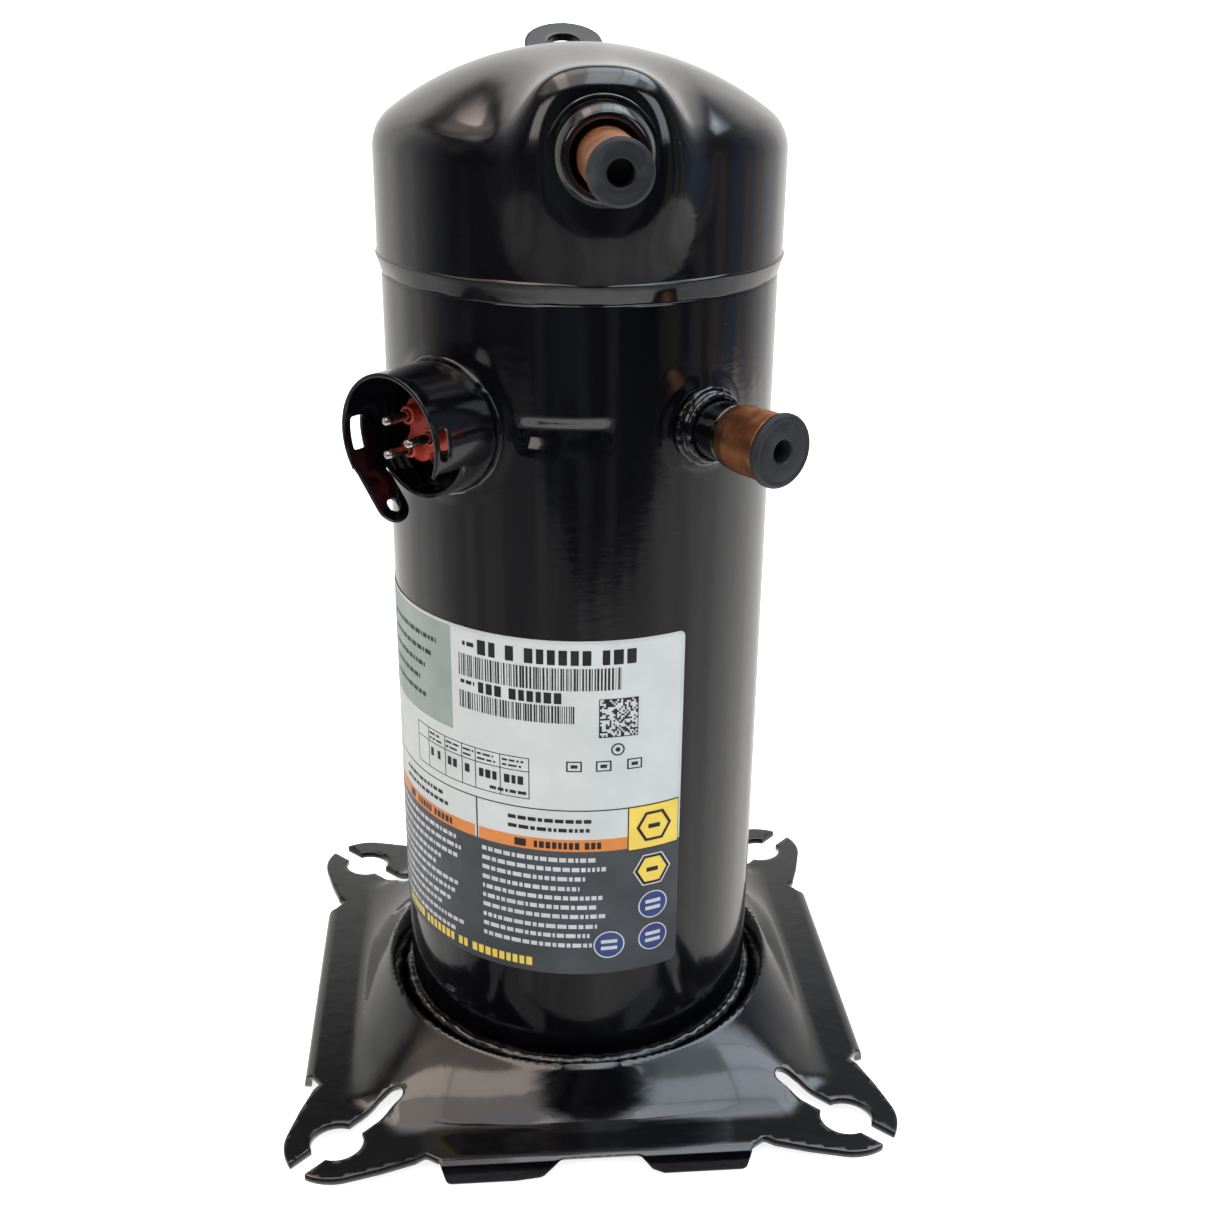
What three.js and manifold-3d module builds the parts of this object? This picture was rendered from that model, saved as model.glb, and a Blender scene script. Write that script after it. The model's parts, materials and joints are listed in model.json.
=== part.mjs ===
// Hermetic scroll compressor for air conditioning: a welded steel casing on a pressed base plate, with its
// fittings and terminal outside, and the scroll pump, its crankshaft and the motor inside.
//
// Millimetres, +Z up. The Z axis is the shell's axis and z = 0 is the surface that the base stands on.
// A direction round the shell is an angle from the front (-Y), positive towards +X. A fitting is drawn in
// its own frame: x sideways, y up, and z outwards along the fitting, counted from the shell's axis.

import * as THREE from 'three';
import { mergeVertices } from 'three/addons/utils/BufferGeometryUtils.js';
import Module from 'manifold-3d';

const wasm = await Module();
wasm.setup();

// ---------------------------------------------------------------- driving dimensions

const GAP = 0.3; // clearance kept between two pieces that touch
const FACETS = { large: 40, medium: 24, small: 16, tiny: 10 };

const SHELL = {
  radius: 69.85, wall: 3, bottom: 18, top: 326, neckRadius: 67.8, neckFrom: 309, neckTo: 313,
};
const CAP = {
  radius: 71.1, wall: 3, bottom: 316, kneeZ: 352.05, kneeRadius: 15.3, domeRadius: 109.8, domeCentreZ: 275.8,
  bossRadius: 26, bossFace: 71.6, bossFrom: 22,
};
const DISH = { radius: 66.55, wall: 3, top: 42, kneeZ: 20, kneeRadius: 14, floor: 6 };
const BASE = {
  sheet: 3, top: 9, holeSpacing: 190.5, lobeRadius: 19.3, holeRadius: 9.7, mouth: 7.8, slot: 7, slotEnd: 106.5,
  bendLine: 107.5, skirtTop: 58, skirtBottom: 54, skirtReach: 111.7, relief: 62.5, reliefDepth: 104,
  innerRadius: 67, grooveZ: 17.2, crestRadius: 78.5, crestZ: 25, slopeFrom: 112, ledge: 91.5,
};
const WELL_DEPTH = -40;
const SKIRT_NOTCH = { bottomLeft: -30, topLeft: -11, topRight: 15, bottomRight: 24.5, height: 7.5 };

const SUCTION = {
  angle: 32.3, z: 269.3, weld: 12.1, neck: 9.8, bore: 8.6, inner: 62.5, neckEnd: 85, bell: 11.2,
  bellBore: 9.6, tail: 8.3, tailBore: 7.3, end: 105, flange: 12.2, face: 108.3, stem: 9.3, stemFrom: 92,
};
const DISCHARGE = {
  angle: 1.5, z: 357.5, weld: 17.1, collar: 15.3, bore: 9.3, inner: 62, collarEnd: 84, tube: 9,
  tubeBore: 7.9, end: 115.6, flange: 9.6, face: 119, stem: 7.6, stemFrom: 103,
};
const PLUG_HOLE = { radius: 3.85, depth: 12 };

const TERMINAL = { angle: -43.8, z: 267.9, holeRadius: 19.2, bodyRadius: 18.9, bodyFrom: 66.5, bodyTo: 73.2 };
const FENCE = { radius: 22.1, sheet: 1.5, high: 95.6, low: 82.2, lowFrom: -132, lowTo: -19 };
const FENCE_SLOTS = [
  { centre: 185, half: 15.5, from: 87.7, to: 92.8 },
  { centre: 6, half: 14, from: 89.4, to: 94 },
];
const TAB = { angle: -140, hole: 14.7, width: 12.5, middle: 88.6, holeRadius: 2.25 };
const PIN = { radius: 1.6, circle: 6.5, inner: 53, outer: 94, angles: [0, 120, 240] };
const BLOCK = { lobe: 5.6, from: 73.5, to: 84 };
const CONNECTOR = { half: 11, height: 10, from: 50, to: 60 };
const LEAD = { radius: 1.5, spacing: 5 };

const LUG = {
  x: -2.6, y: 55, z: 382, tilt: 24.6, radius: 14.4, hole: 6, sheet: 3.2, reach: 10, foot: 12, footAngle: 18.6,
};
const LABEL = { from: -129.4, to: 28, bottom: 60, top: 196.5, sheet: 0.3 };

// The wraps are involutes of one circle, half a pitch apart, so the crank throw follows from them.
const WRAP = { pitch: 15, wall: 3.2, start: 3.4, end: 18.2, step: 10, height: 20 };
const WRAP_BASE = WRAP.pitch / (2 * Math.PI);
const THROW = WRAP.pitch / 2 - WRAP.wall - GAP;

const HOUSING = {
  hubRadius: 22, hubBottom: 235, bottom: 262, top: 280, discRadius: 47, bossRadius: 36, bossTop: 287,
  wellRadius: 24, wellFloor: 266, armWidth: 34, armAngle: -8, pillarFrom: 57.6, pillarTo: 65.5,
  pillarWidth: 16, pillarTop: 298.7, reach: 66.55,
};
const BOLT = { circle: 61.5, shank: 3, head: 4.6, bottom: 275, headFrom: 305.3, headTo: 308.2 };
const ORBITING = { baseRadius: 53, bottom: 289.6, baseTop: 297.6, hubRadius: 17.3, hubBottom: 270 };
const FIXED = {
  discRadius: 56.4, wrapTop: 318.2, baseTop: 325, rimInner: 51, earFrom: 299, earTo: 304, hubRadius: 38,
  hubTop: 334, recessInner: 21, recessOuter: 35, recessFloor: 327, port: 4.5, passage: 8,
};
const OLDHAM = {
  inner: 41, outer: 50, bottom: 281, top: 285, keyCircle: 46, key: 8, keyLow: 275, keyHigh: 291.3,
};
const CRANK = {
  lower: 9, main: 11, stepZ: 84, bottom: 50, collar: 15, collarFrom: 266.3, collarTo: 269.5, pin: 7.2,
  pinTop: 286, oilway: 2,
};
const BUSH = { main: 13, drive: 10.7, hub: 12.7, lower: 11 };
const MOTOR = {
  stackBottom: 110, stackTop: 200, statorRadius: 66.4, bore: 34, slots: 18, slotWidth: 3.8, slotDepth: 17,
  coilWidth: 3, coilFrom: 36, coilTo: 50.5, rotor: 33.3, endRing: 31, ringInner: 22, ringHeight: 6,
};
const BRACKET = { hub: 18, bottom: 60, top: 80, armFrom: 62, armTo: 70, armWidth: 22, padFrom: 56, padTo: 76 };
const MUFFLER = { rim: 326.3, lift: 338, sheet: 3, port: 9 };
const VALVE = { disc: 12.6, thickness: 1.2, guard: 15, guardWall: 1.5, guardHeight: 7.7, seat: 341.3 };
const RELIEF = { y: 44, shank: 3.9, head: 6.5, bore: 3.2, vent: 1.5, bottom: 337, top: 350, plunger: 2.8 };

// ---------------------------------------------------------------- materials

const finish = (color, roughness, metalness) => ({ color, roughness, metalness });
const FINISH = {
  paint: finish(0x0a0b0d, 0.22, 0.1),
  copper: finish(0xb9673f, 0.35, 1),
  rubber: finish(0x1b1c1f, 0.8, 0),
  insulator: finish(0xa3261c, 0.45, 0),
  nickel: finish(0xb5b2aa, 0.35, 1),
  paper: finish(0xc9ccd0, 0.5, 0),
  sheet: finish(0x6d6f73, 0.45, 1),
  iron: finish(0x5b5c5f, 0.6, 0.8),
  aluminium: finish(0xa9adb2, 0.4, 1),
  steel: finish(0x8e9196, 0.3, 1),
  bronze: finish(0xa47a3e, 0.4, 1),
  laminations: finish(0x4b4f55, 0.5, 0.9),
  winding: finish(0x9a4c22, 0.45, 0.5),
  polymer: finish(0x2e3035, 0.6, 0),
  cable: finish(0x3a1512, 0.5, 0),
};

// ---------------------------------------------------------------- solids and booleans

function signedVolume(position, index) {
  const a = new THREE.Vector3();
  const b = new THREE.Vector3();
  const c = new THREE.Vector3();
  let volume = 0;
  for (let i = 0; i < index.length; i += 3) {
    a.fromBufferAttribute(position, index[i]);
    b.fromBufferAttribute(position, index[i + 1]);
    c.fromBufferAttribute(position, index[i + 2]);
    volume += a.dot(b.cross(c)) / 6;
  }
  return volume;
}

// A closed three.js geometry as a solid: shared vertices merged, faces with no area dropped, faces outwards.
function solid(geometry) {
  geometry.deleteAttribute('normal');
  geometry.deleteAttribute('uv');
  const merged = mergeVertices(geometry, 1e-4);
  const source = merged.index.array;
  let triangles = [];
  for (let i = 0; i < source.length; i += 3) {
    const [a, b, c] = [source[i], source[i + 1], source[i + 2]];
    if (a !== b && b !== c && c !== a) triangles.push([a, b, c]);
  }
  if (signedVolume(merged.attributes.position, triangles.flat()) < 0) {
    triangles = triangles.map(([a, b, c]) => [a, c, b]);
  }
  return new wasm.Manifold(new wasm.Mesh({
    numProp: 3,
    vertProperties: new Float32Array(merged.attributes.position.array),
    triVerts: new Uint32Array(triangles.flat()),
  }));
}

const join = (first, ...others) => others.reduce((whole, piece) => whole.add(piece), first);
const cut = (first, ...others) => others.reduce((whole, piece) => whole.subtract(piece), first);
const meet = (first, second) => first.intersect(second);

const radians = THREE.MathUtils.degToRad;

// Turned about Z. The profile is a list of [radius, z], closed on itself unless it starts and ends on the axis.
function turned(profile, facets = FACETS.medium) {
  const points = profile.map(([r, z]) => new THREE.Vector2(r, z));
  const onAxis = profile[0][0] === 0 && profile.at(-1)[0] === 0;
  if (!onAxis) points.push(points[0].clone());
  return solid(new THREE.LatheGeometry(points, facets).rotateX(Math.PI / 2));
}

function rod(radius, from, to, x = 0, y = 0, facets = FACETS.small) {
  const geometry = new THREE.CylinderGeometry(radius, radius, to - from, facets);
  return solid(geometry.rotateX(Math.PI / 2).translate(x, y, (from + to) / 2));
}

function tube(inner, outer, from, to, facets = FACETS.small) {
  return turned([[inner, from], [outer, from], [outer, to], [inner, to]], facets);
}

function box(low, high, turn = 0) {
  const size = high.map((value, axis) => value - low[axis]);
  const middle = high.map((value, axis) => (value + low[axis]) / 2);
  return solid(new THREE.BoxGeometry(...size).translate(...middle).rotateZ(radians(turn)));
}

function prism(shape, from, to, matrix = null, curveSegments = 8) {
  const options = { depth: to - from, bevelEnabled: false, curveSegments };
  const geometry = new THREE.ExtrudeGeometry(shape, options).translate(0, 0, from);
  if (matrix) geometry.applyMatrix4(matrix);
  return solid(geometry);
}

const polygon = (points) => new THREE.Shape(points.map(([x, y]) => new THREE.Vector2(x, y)));

// A block between two radii and two angles in degrees.
function sector(inner, outer, fromAngle, toAngle, from, to, curveSegments = 8) {
  const shape = new THREE.Shape();
  shape.absarc(0, 0, outer, radians(fromAngle), radians(toAngle), false);
  shape.absarc(0, 0, inner, radians(toAngle), radians(fromAngle), true);
  shape.closePath();
  return prism(shape, from, to, null, curveSegments);
}

// ---------------------------------------------------------------- placing

const assembly = new THREE.Group();

function addPiece(name, look, piece, parent = assembly) {
  const result = piece.getMesh();
  const geometry = new THREE.BufferGeometry();
  geometry.setAttribute('position', new THREE.Float32BufferAttribute(result.vertProperties, 3));
  geometry.setIndex(new THREE.Uint32BufferAttribute(result.triVerts, 1));
  geometry.computeVertexNormals();
  const mesh = new THREE.Mesh(geometry, new THREE.MeshStandardMaterial(look));
  mesh.name = name;
  parent.add(mesh);
}

// The frame of a fitting on the shell's side.
function fittingFrame({ angle, z }) {
  const phi = radians(angle);
  const sideways = new THREE.Vector3(Math.cos(phi), Math.sin(phi), 0);
  const up = new THREE.Vector3(0, 0, 1);
  const outwards = new THREE.Vector3(Math.sin(phi), -Math.cos(phi), 0);
  return new THREE.Matrix4().makeBasis(sideways, up, outwards).setPosition(0, 0, z);
}

function fittingGroup(fitting) {
  const group = new THREE.Group();
  group.applyMatrix4(fittingFrame(fitting));
  assembly.add(group);
  return group;
}

function fittingHole(fitting, radius, from, to, facets = FACETS.medium) {
  const geometry = new THREE.CylinderGeometry(radius, radius, to - from, facets);
  geometry.rotateX(Math.PI / 2).translate(0, 0, (from + to) / 2).applyMatrix4(fittingFrame(fitting));
  return solid(geometry);
}

// The shell or cap as a fitting sees it: a cylinder standing across the fitting's axis.
function barrel(radius, height = 90) {
  return solid(new THREE.CylinderGeometry(radius, radius, height, FACETS.large));
}

const FOUR_SIDES = [0, 90, 180, 270];
const armTurn = (index) => HOUSING.armAngle + 90 * index;

// ---------------------------------------------------------------- casing

function arcPoints(centreR, centreZ, radius, fromAngle, toAngle, steps) {
  return Array.from({ length: steps + 1 }, (_, i) => {
    const angle = radians(fromAngle + (toAngle - fromAngle) * i / steps);
    return [centreR + radius * Math.sin(angle), centreZ + radius * Math.cos(angle)];
  });
}

// The dome's section from the axis down to the skirt, for a sheet whose surface is `inset` inside the outside.
function domeSection(inset) {
  const kneeCentre = CAP.radius - CAP.kneeRadius;
  const meetAngle = THREE.MathUtils.radToDeg(Math.atan2(kneeCentre, CAP.kneeZ - CAP.domeCentreZ));
  const dome = arcPoints(0, CAP.domeCentreZ, CAP.domeRadius - inset, 0, meetAngle, 4);
  const knee = arcPoints(kneeCentre, CAP.kneeZ, CAP.kneeRadius - inset, meetAngle, 90, 3);
  return [...dome, ...knee.slice(1)];
}

function topCap() {
  const outside = turned([...domeSection(0), [CAP.radius, CAP.bottom], [0, CAP.bottom]], FACETS.large);
  const inside = turned(
    [...domeSection(CAP.wall), [CAP.radius - CAP.wall, CAP.bottom - 1], [0, CAP.bottom - 1]],
    FACETS.large,
  );
  const boss = fittingHole(DISCHARGE, CAP.bossRadius, CAP.bossFrom, CAP.bossFace);
  const bossInside = fittingHole(
    DISCHARGE, CAP.bossRadius - CAP.wall, CAP.bossFrom, CAP.bossFace - CAP.wall,
  );
  const port = fittingHole(DISCHARGE, DISCHARGE.bore + 1 + GAP, 40, 90, FACETS.small);
  return cut(join(outside, boss), inside, bossInside, port);
}

function shell() {
  const inner = SHELL.radius - SHELL.wall;
  const neckInner = SHELL.neckRadius - SHELL.wall;
  const barrelSheet = turned([
    [inner, SHELL.bottom], [SHELL.radius, SHELL.bottom], [SHELL.radius, SHELL.neckFrom],
    [SHELL.neckRadius, SHELL.neckTo], [SHELL.neckRadius, SHELL.top], [neckInner, SHELL.top],
    [neckInner, SHELL.neckTo - 1], [inner, SHELL.neckFrom - 1],
  ], FACETS.large);
  const suctionHole = fittingHole(SUCTION, SUCTION.neck + GAP, 50, 80, FACETS.small);
  const terminalHole = fittingHole(TERMINAL, TERMINAL.holeRadius, 50, 80);
  return cut(barrelSheet, suctionHole, terminalHole);
}

function lowerDish() {
  const kneeCentre = DISH.radius - DISH.kneeRadius;
  const outside = arcPoints(kneeCentre, DISH.kneeZ, DISH.kneeRadius, 90, 180, 4);
  const inside = arcPoints(kneeCentre, DISH.kneeZ, DISH.kneeRadius - DISH.wall, 180, 90, 3);
  return turned([
    [0, DISH.floor + DISH.wall], ...inside, [DISH.radius - DISH.wall, DISH.top], [DISH.radius, DISH.top],
    ...outside, [0, DISH.floor],
  ]);
}

// Everything under one face of the pressed sheet: the flat corners, the slope, the crest and the groove.
// The pressed well's solid: a round crest whose four slopes run down to a squared foot.
function raisedWell(drop) {
  const well = new THREE.LatheGeometry([
    [0, BASE.grooveZ - drop], [BASE.crestRadius - 7.5, BASE.grooveZ - drop],
    [BASE.crestRadius - 4.5, BASE.crestZ - 3 - drop], [BASE.crestRadius - 2, BASE.crestZ - 0.4 - drop],
    [BASE.crestRadius, BASE.crestZ - drop], [BASE.crestRadius + 3.5, BASE.crestZ - 1 - drop],
    [BASE.crestRadius + 11.5, BASE.crestZ - 5.5 - drop], [BASE.slopeFrom, BASE.top - drop],
    [BASE.slopeFrom, WELL_DEPTH], [0, WELL_DEPTH],
  ].map(([r, z]) => new THREE.Vector2(r, z)), FACETS.large).rotateX(Math.PI / 2);
  const position = well.attributes.position;
  for (let i = 0; i < position.count; i += 1) {
    const [x, y] = [position.getX(i), position.getY(i)];
    const radius = Math.hypot(x, y);
    if (radius > BASE.crestRadius + 1) {
      const squareness = Math.max(Math.abs(x), Math.abs(y)) / radius;
      const foot = Math.min(BASE.slopeFrom, BASE.ledge / squareness);
      const share = (radius - BASE.crestRadius) / (BASE.slopeFrom - BASE.crestRadius);
      const scale = (BASE.crestRadius + share * (foot - BASE.crestRadius)) / radius;
      position.setXY(i, x * scale, y * scale);
    }
  }
  return solid(well);
}

function underSheet(drop) {
  const flat = box([-150, -150, WELL_DEPTH], [150, 150, BASE.top - drop]);
  return join(flat, raisedWell(drop));
}

function skirt(side) {
  const run = BASE.skirtReach - BASE.bendLine;
  const length = Math.hypot(run, BASE.top);
  const inwards = [BASE.sheet * BASE.top / length, BASE.sheet * run / length];
  const section = polygon([
    [BASE.bendLine, BASE.top], [BASE.skirtReach, 0], [BASE.skirtReach - BASE.sheet * length / BASE.top, 0],
    [BASE.bendLine - inwards[0], BASE.top - inwards[1]], [BASE.bendLine - 4, BASE.top - BASE.sheet],
    [BASE.bendLine - 4, BASE.top],
  ]);
  // The section is drawn in (reach, height) and run along the skirt's width.
  const alongSkirt = new THREE.Matrix4().makeBasis(
    new THREE.Vector3(0, -1, 0), new THREE.Vector3(0, 0, 1), new THREE.Vector3(-1, 0, 0),
  );
  const strip = prism(section, -BASE.skirtTop, BASE.skirtTop, alongSkirt);
  const acrossSkirt = new THREE.Matrix4().makeBasis(
    new THREE.Vector3(1, 0, 0), new THREE.Vector3(0, 0, 1), new THREE.Vector3(0, -1, 0),
  );
  const outline = prism(polygon([
    [-BASE.skirtTop, BASE.top + 1], [-BASE.skirtTop, BASE.top - 1], [-BASE.skirtBottom, -1],
    [BASE.skirtBottom, -1], [BASE.skirtTop, BASE.top - 1], [BASE.skirtTop, BASE.top + 1],
  ]), 90, 120, acrossSkirt);
  let flap = meet(strip, outline);
  if (side % 180 === 0) {
    const notch = SKIRT_NOTCH;
    const arch = prism(polygon([
      [notch.bottomLeft, -1], [notch.bottomRight, -1], [notch.topRight, notch.height],
      [notch.topLeft, notch.height],
    ]), 90, 120, acrossSkirt);
    flap = cut(flap, arch);
  }
  return flap.rotate([0, 0, side]);
}

function baseOutline() {
  const hole = BASE.holeSpacing / 2;
  const reach = hole + BASE.lobeRadius;
  const quarter = [
    [-91, -reach + 0.4], [-66, -106.5], [-BASE.relief, -BASE.reliefDepth], [-BASE.skirtTop, -BASE.bendLine],
    [BASE.skirtTop, -BASE.bendLine], [BASE.relief, -BASE.reliefDepth], [66, -106.5], [91, -reach + 0.4],
  ];
  const points = FOUR_SIDES.flatMap((turn) => quarter.map(([x, y]) => {
    const corner = new THREE.Vector2(x, y).rotateAround(new THREE.Vector2(), radians(turn));
    return [corner.x, corner.y];
  }));
  let outline = prism(polygon(points), -5, 60);
  for (const turn of FOUR_SIDES) {
    const diagonal = radians(turn + 45);
    const far = Math.hypot(hole, hole);
    const [x, y] = [far * Math.cos(diagonal), far * Math.sin(diagonal)];
    const slotEnd = [BASE.slotEnd * Math.cos(diagonal), BASE.slotEnd * Math.sin(diagonal)];
    outline = cut(
      join(outline, rod(BASE.lobeRadius, -5, 60, x, y, FACETS.medium)),
      rod(BASE.holeRadius, -6, 61, x, y, FACETS.medium),
      rod(BASE.slot / 2, -6, 61, ...slotEnd, FACETS.tiny),
      box([BASE.slotEnd, -BASE.slot / 2, -6], [far, BASE.slot / 2, 61], turn + 45),
      box([far, -BASE.mouth / 2, -6], [far + 40, BASE.mouth / 2, 61], turn + 45),
    );
  }
  return outline;
}

function basePlate() {
  const sheet = cut(underSheet(0), underSheet(BASE.sheet));
  const plate = cut(meet(sheet, baseOutline()), rod(BASE.innerRadius, 0, 60, 0, 0, FACETS.large));
  return join(plate, ...FOUR_SIDES.map(skirt));
}

// ---------------------------------------------------------------- fittings

function suctionFitting() {
  const group = fittingGroup(SUCTION);
  const s = SUCTION;
  const neck = turned([
    [s.bore, s.inner], [s.neck, s.inner], [s.neck, s.neckEnd], [s.bore, s.neckEnd],
  ], FACETS.small);
  const weld = turned([
    [s.bore, 60], [s.weld, 60], [s.weld, 71.6], [s.weld - 1.2, 72.6], [s.bore, 73.4],
  ], FACETS.small);
  addPiece('suction_collar', FINISH.paint, join(neck, cut(weld, barrel(SHELL.radius + GAP))), group);
  addPiece('suction_tube', FINISH.copper, turned([
    [s.tailBore, s.inner], [s.tail, s.inner], [s.tail, s.neckEnd + GAP], [s.bell - 0.8, s.neckEnd + GAP],
    [s.bell, s.neckEnd + 1.2], [s.bell, s.end], [s.bellBore, s.end], [s.bellBore, s.neckEnd + 4],
    [s.tailBore, s.neckEnd + 2],
  ], FACETS.small), group);
  addPiece('suction_plug', FINISH.rubber, rubberPlug(s), group);
}

function dischargeFitting() {
  const group = fittingGroup(DISCHARGE);
  const d = DISCHARGE;
  const root = CAP.bossFace + GAP;
  addPiece('discharge_collar', FINISH.paint, turned([
    [d.bore, d.inner], [d.bore + 1, d.inner], [d.bore + 1, root], [d.weld, root], [d.weld, root + 2],
    [d.weld - 0.9, root + 3.2], [d.collar, root + 3.6], [d.collar, d.collarEnd - 3],
    [d.collar - 1, d.collarEnd - 0.8], [d.collar - 3, d.collarEnd], [d.bore + 1.2, d.collarEnd - 2.6],
    [d.bore, d.collarEnd - 3.4],
  ], FACETS.small), group);
  addPiece('discharge_tube', FINISH.copper, tube(d.tubeBore, d.tube, d.inner, d.end), group);
  addPiece('discharge_plug', FINISH.rubber, rubberPlug(d), group);
}

// A push-in shipping plug: a stem in the tube's end, a flange against it and a blind hole in its face.
function rubberPlug({ stem, stemFrom, end, flange, face }) {
  return turned([
    [0, stemFrom], [stem - 0.6, stemFrom], [stem, stemFrom + 1], [stem, end + GAP], [flange, end + GAP],
    [flange, face - 0.6], [flange - 0.6, face], [PLUG_HOLE.radius, face],
    [PLUG_HOLE.radius, face - PLUG_HOLE.depth], [0, face - PLUG_HOLE.depth],
  ], FACETS.small);
}

function terminalFence() {
  const inner = FENCE.radius - FENCE.sheet;
  const ring = tube(inner, FENCE.radius, 58, FENCE.high, FACETS.large);
  const lowered = sector(
    inner - 4, FENCE.radius + 4, FENCE.lowFrom, FENCE.lowTo, FENCE.low, FENCE.high + 5,
  );
  const slots = FENCE_SLOTS.map(({ centre, half, from, to }) => (
    sector(inner - 4, FENCE.radius + 4, centre - half, centre + half, from, to, 4)
  ));
  const turn = radians(TAB.angle);
  const tangent = new THREE.Vector3(-Math.sin(turn), Math.cos(turn), 0);
  const radial = new THREE.Vector3(Math.cos(turn), Math.sin(turn), 0);
  const alongTab = new THREE.Matrix4().makeBasis(tangent, new THREE.Vector3(0, 0, 1), radial);
  const half = TAB.width / 2;
  const strip = new THREE.Shape();
  strip.moveTo(-1, TAB.middle - half);
  strip.lineTo(TAB.hole, TAB.middle - half);
  strip.absarc(TAB.hole, TAB.middle, half, -Math.PI / 2, Math.PI / 2, false);
  strip.lineTo(-1, TAB.middle + half);
  strip.closePath();
  const screwHole = new THREE.Path();
  screwHole.absarc(TAB.hole, TAB.middle, TAB.holeRadius, 0, 2 * Math.PI, true);
  strip.holes.push(screwHole);
  const tab = prism(strip, inner, FENCE.radius, alongTab, 6);
  return join(cut(ring, barrel(SHELL.radius + GAP), lowered, ...slots), tab);
}

const pinCentre = (angle) => [
  PIN.circle * Math.cos(radians(angle)), PIN.circle * Math.sin(radians(angle)),
];

function pinHoles(from, to) {
  return PIN.angles.map((angle) => rod(PIN.radius + GAP, from, to, ...pinCentre(angle), FACETS.tiny));
}

function terminal() {
  const group = fittingGroup(TERMINAL);
  addPiece('terminal_fence', FINISH.paint, terminalFence(), group);

  const { bodyRadius, bodyFrom, bodyTo } = TERMINAL;
  const body = turned([
    [0, bodyFrom], [bodyRadius, bodyFrom], [bodyRadius, bodyFrom + 4], [bodyRadius - 4, bodyTo], [0, bodyTo],
  ]);
  addPiece('terminal_body', FINISH.paint, cut(body, ...pinHoles(bodyFrom - 1, bodyTo + 1)), group);

  const lobes = PIN.angles.map((angle) => (
    rod(BLOCK.lobe, BLOCK.from, BLOCK.to, ...pinCentre(angle), FACETS.tiny)
  ));
  const core = rod(PIN.circle + 1, BLOCK.from, BLOCK.to, 0, 0, FACETS.tiny);
  const block = cut(join(core, ...lobes), ...pinHoles(BLOCK.from - 1, BLOCK.to + 1));
  addPiece('terminal_block', FINISH.insulator, block, group);

  PIN.angles.forEach((angle, index) => {
    const [x, y] = pinCentre(angle);
    const pin = turned([
      [0, PIN.inner], [PIN.radius, PIN.inner], [PIN.radius, PIN.outer - 1.2],
      [PIN.radius * 0.6, PIN.outer - 0.2], [0, PIN.outer],
    ], FACETS.tiny);
    addPiece(`terminal_pin_${index + 1}`, FINISH.nickel, pin.translate([x, y, 0]), group);
  });

  const c = CONNECTOR;
  const housing = box([-c.half, -c.height, c.from], [c.half, c.height, c.to]);
  addPiece('lead_connector', FINISH.polymer, cut(housing, ...pinHoles(PIN.inner - 1, c.to + 1)), group);
}

function leadWire(index) {
  const frame = fittingFrame(TERMINAL);
  const sideways = (index - 1) * LEAD.spacing;
  const top = -CONNECTOR.height - GAP;
  const down = MOTOR.stackTop + 24 + 2 * GAP - TERMINAL.z;
  const points = [[55, top], [55, top - 8], [51, (top + down) / 2], [50, down + 6], [50, down]];
  const path = new THREE.CatmullRomCurve3(points.map(([out, height]) => (
    new THREE.Vector3(sideways, height, out).applyMatrix4(frame)
  )));
  const section = new THREE.Shape().absarc(0, 0, LEAD.radius, 0, 2 * Math.PI, false);
  const options = { steps: 8, curveSegments: 4, bevelEnabled: false, extrudePath: path };
  addPiece(`lead_wire_${index + 1}`, FINISH.cable, solid(new THREE.ExtrudeGeometry(section, options)));
}

function liftingLug() {
  const ring = new THREE.Shape();
  ring.absarc(0, 0, LUG.radius, 0, Math.PI, false);
  ring.lineTo(-LUG.radius, -LUG.reach);
  ring.lineTo(LUG.radius, -LUG.reach);
  ring.closePath();
  const eye = new THREE.Path();
  eye.absarc(0, 0, LUG.hole, 0, 2 * Math.PI, true);
  ring.holes.push(eye);
  const half = LUG.sheet / 2;
  const raised = new THREE.Matrix4().makeRotationX(radians(LUG.tilt)).setPosition(LUG.x, LUG.y, LUG.z);
  const eyePlate = prism(ring, -half, half, raised, 12);
  const foot = solid(
    new THREE.BoxGeometry(2 * LUG.radius, LUG.foot, LUG.sheet)
      .translate(0, LUG.foot / 2, CAP.domeRadius + GAP + half)
      .rotateX(-radians(LUG.footAngle))
      .translate(LUG.x, 0, CAP.domeCentreZ),
  );
  return join(eyePlate, foot);
}

function ratingLabel() {
  const inner = SHELL.radius + GAP;
  const [from, to] = [LABEL.from - 90, LABEL.to - 90];
  return sector(inner, inner + LABEL.sheet, from, to, LABEL.bottom, LABEL.top, 20);
}

// ---------------------------------------------------------------- scroll pump

// One wall of a wrap: the involute of the base circle, shifted by half the wall's thickness either way.
function involute(angle, shift) {
  const run = angle - shift;
  return [
    WRAP_BASE * (Math.cos(angle) + run * Math.sin(angle)),
    WRAP_BASE * (Math.sin(angle) - run * Math.cos(angle)),
  ];
}

function wrap(from, to, turn, x) {
  const shift = WRAP.wall / (2 * WRAP_BASE);
  const steps = Math.round((WRAP.end - WRAP.start) / radians(WRAP.step));
  const angles = Array.from({ length: steps + 1 }, (_, i) => (
    WRAP.start + (WRAP.end - WRAP.start) * i / steps
  ));
  const outerWall = angles.map((angle) => involute(angle, -shift));
  const innerWall = angles.map((angle) => involute(angle, shift)).reverse();
  const placed = new THREE.Matrix4().makeRotationZ(radians(turn)).setPosition(x, 0, 0);
  return prism(polygon([...outerWall, ...innerWall]), from, to, placed);
}

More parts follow.
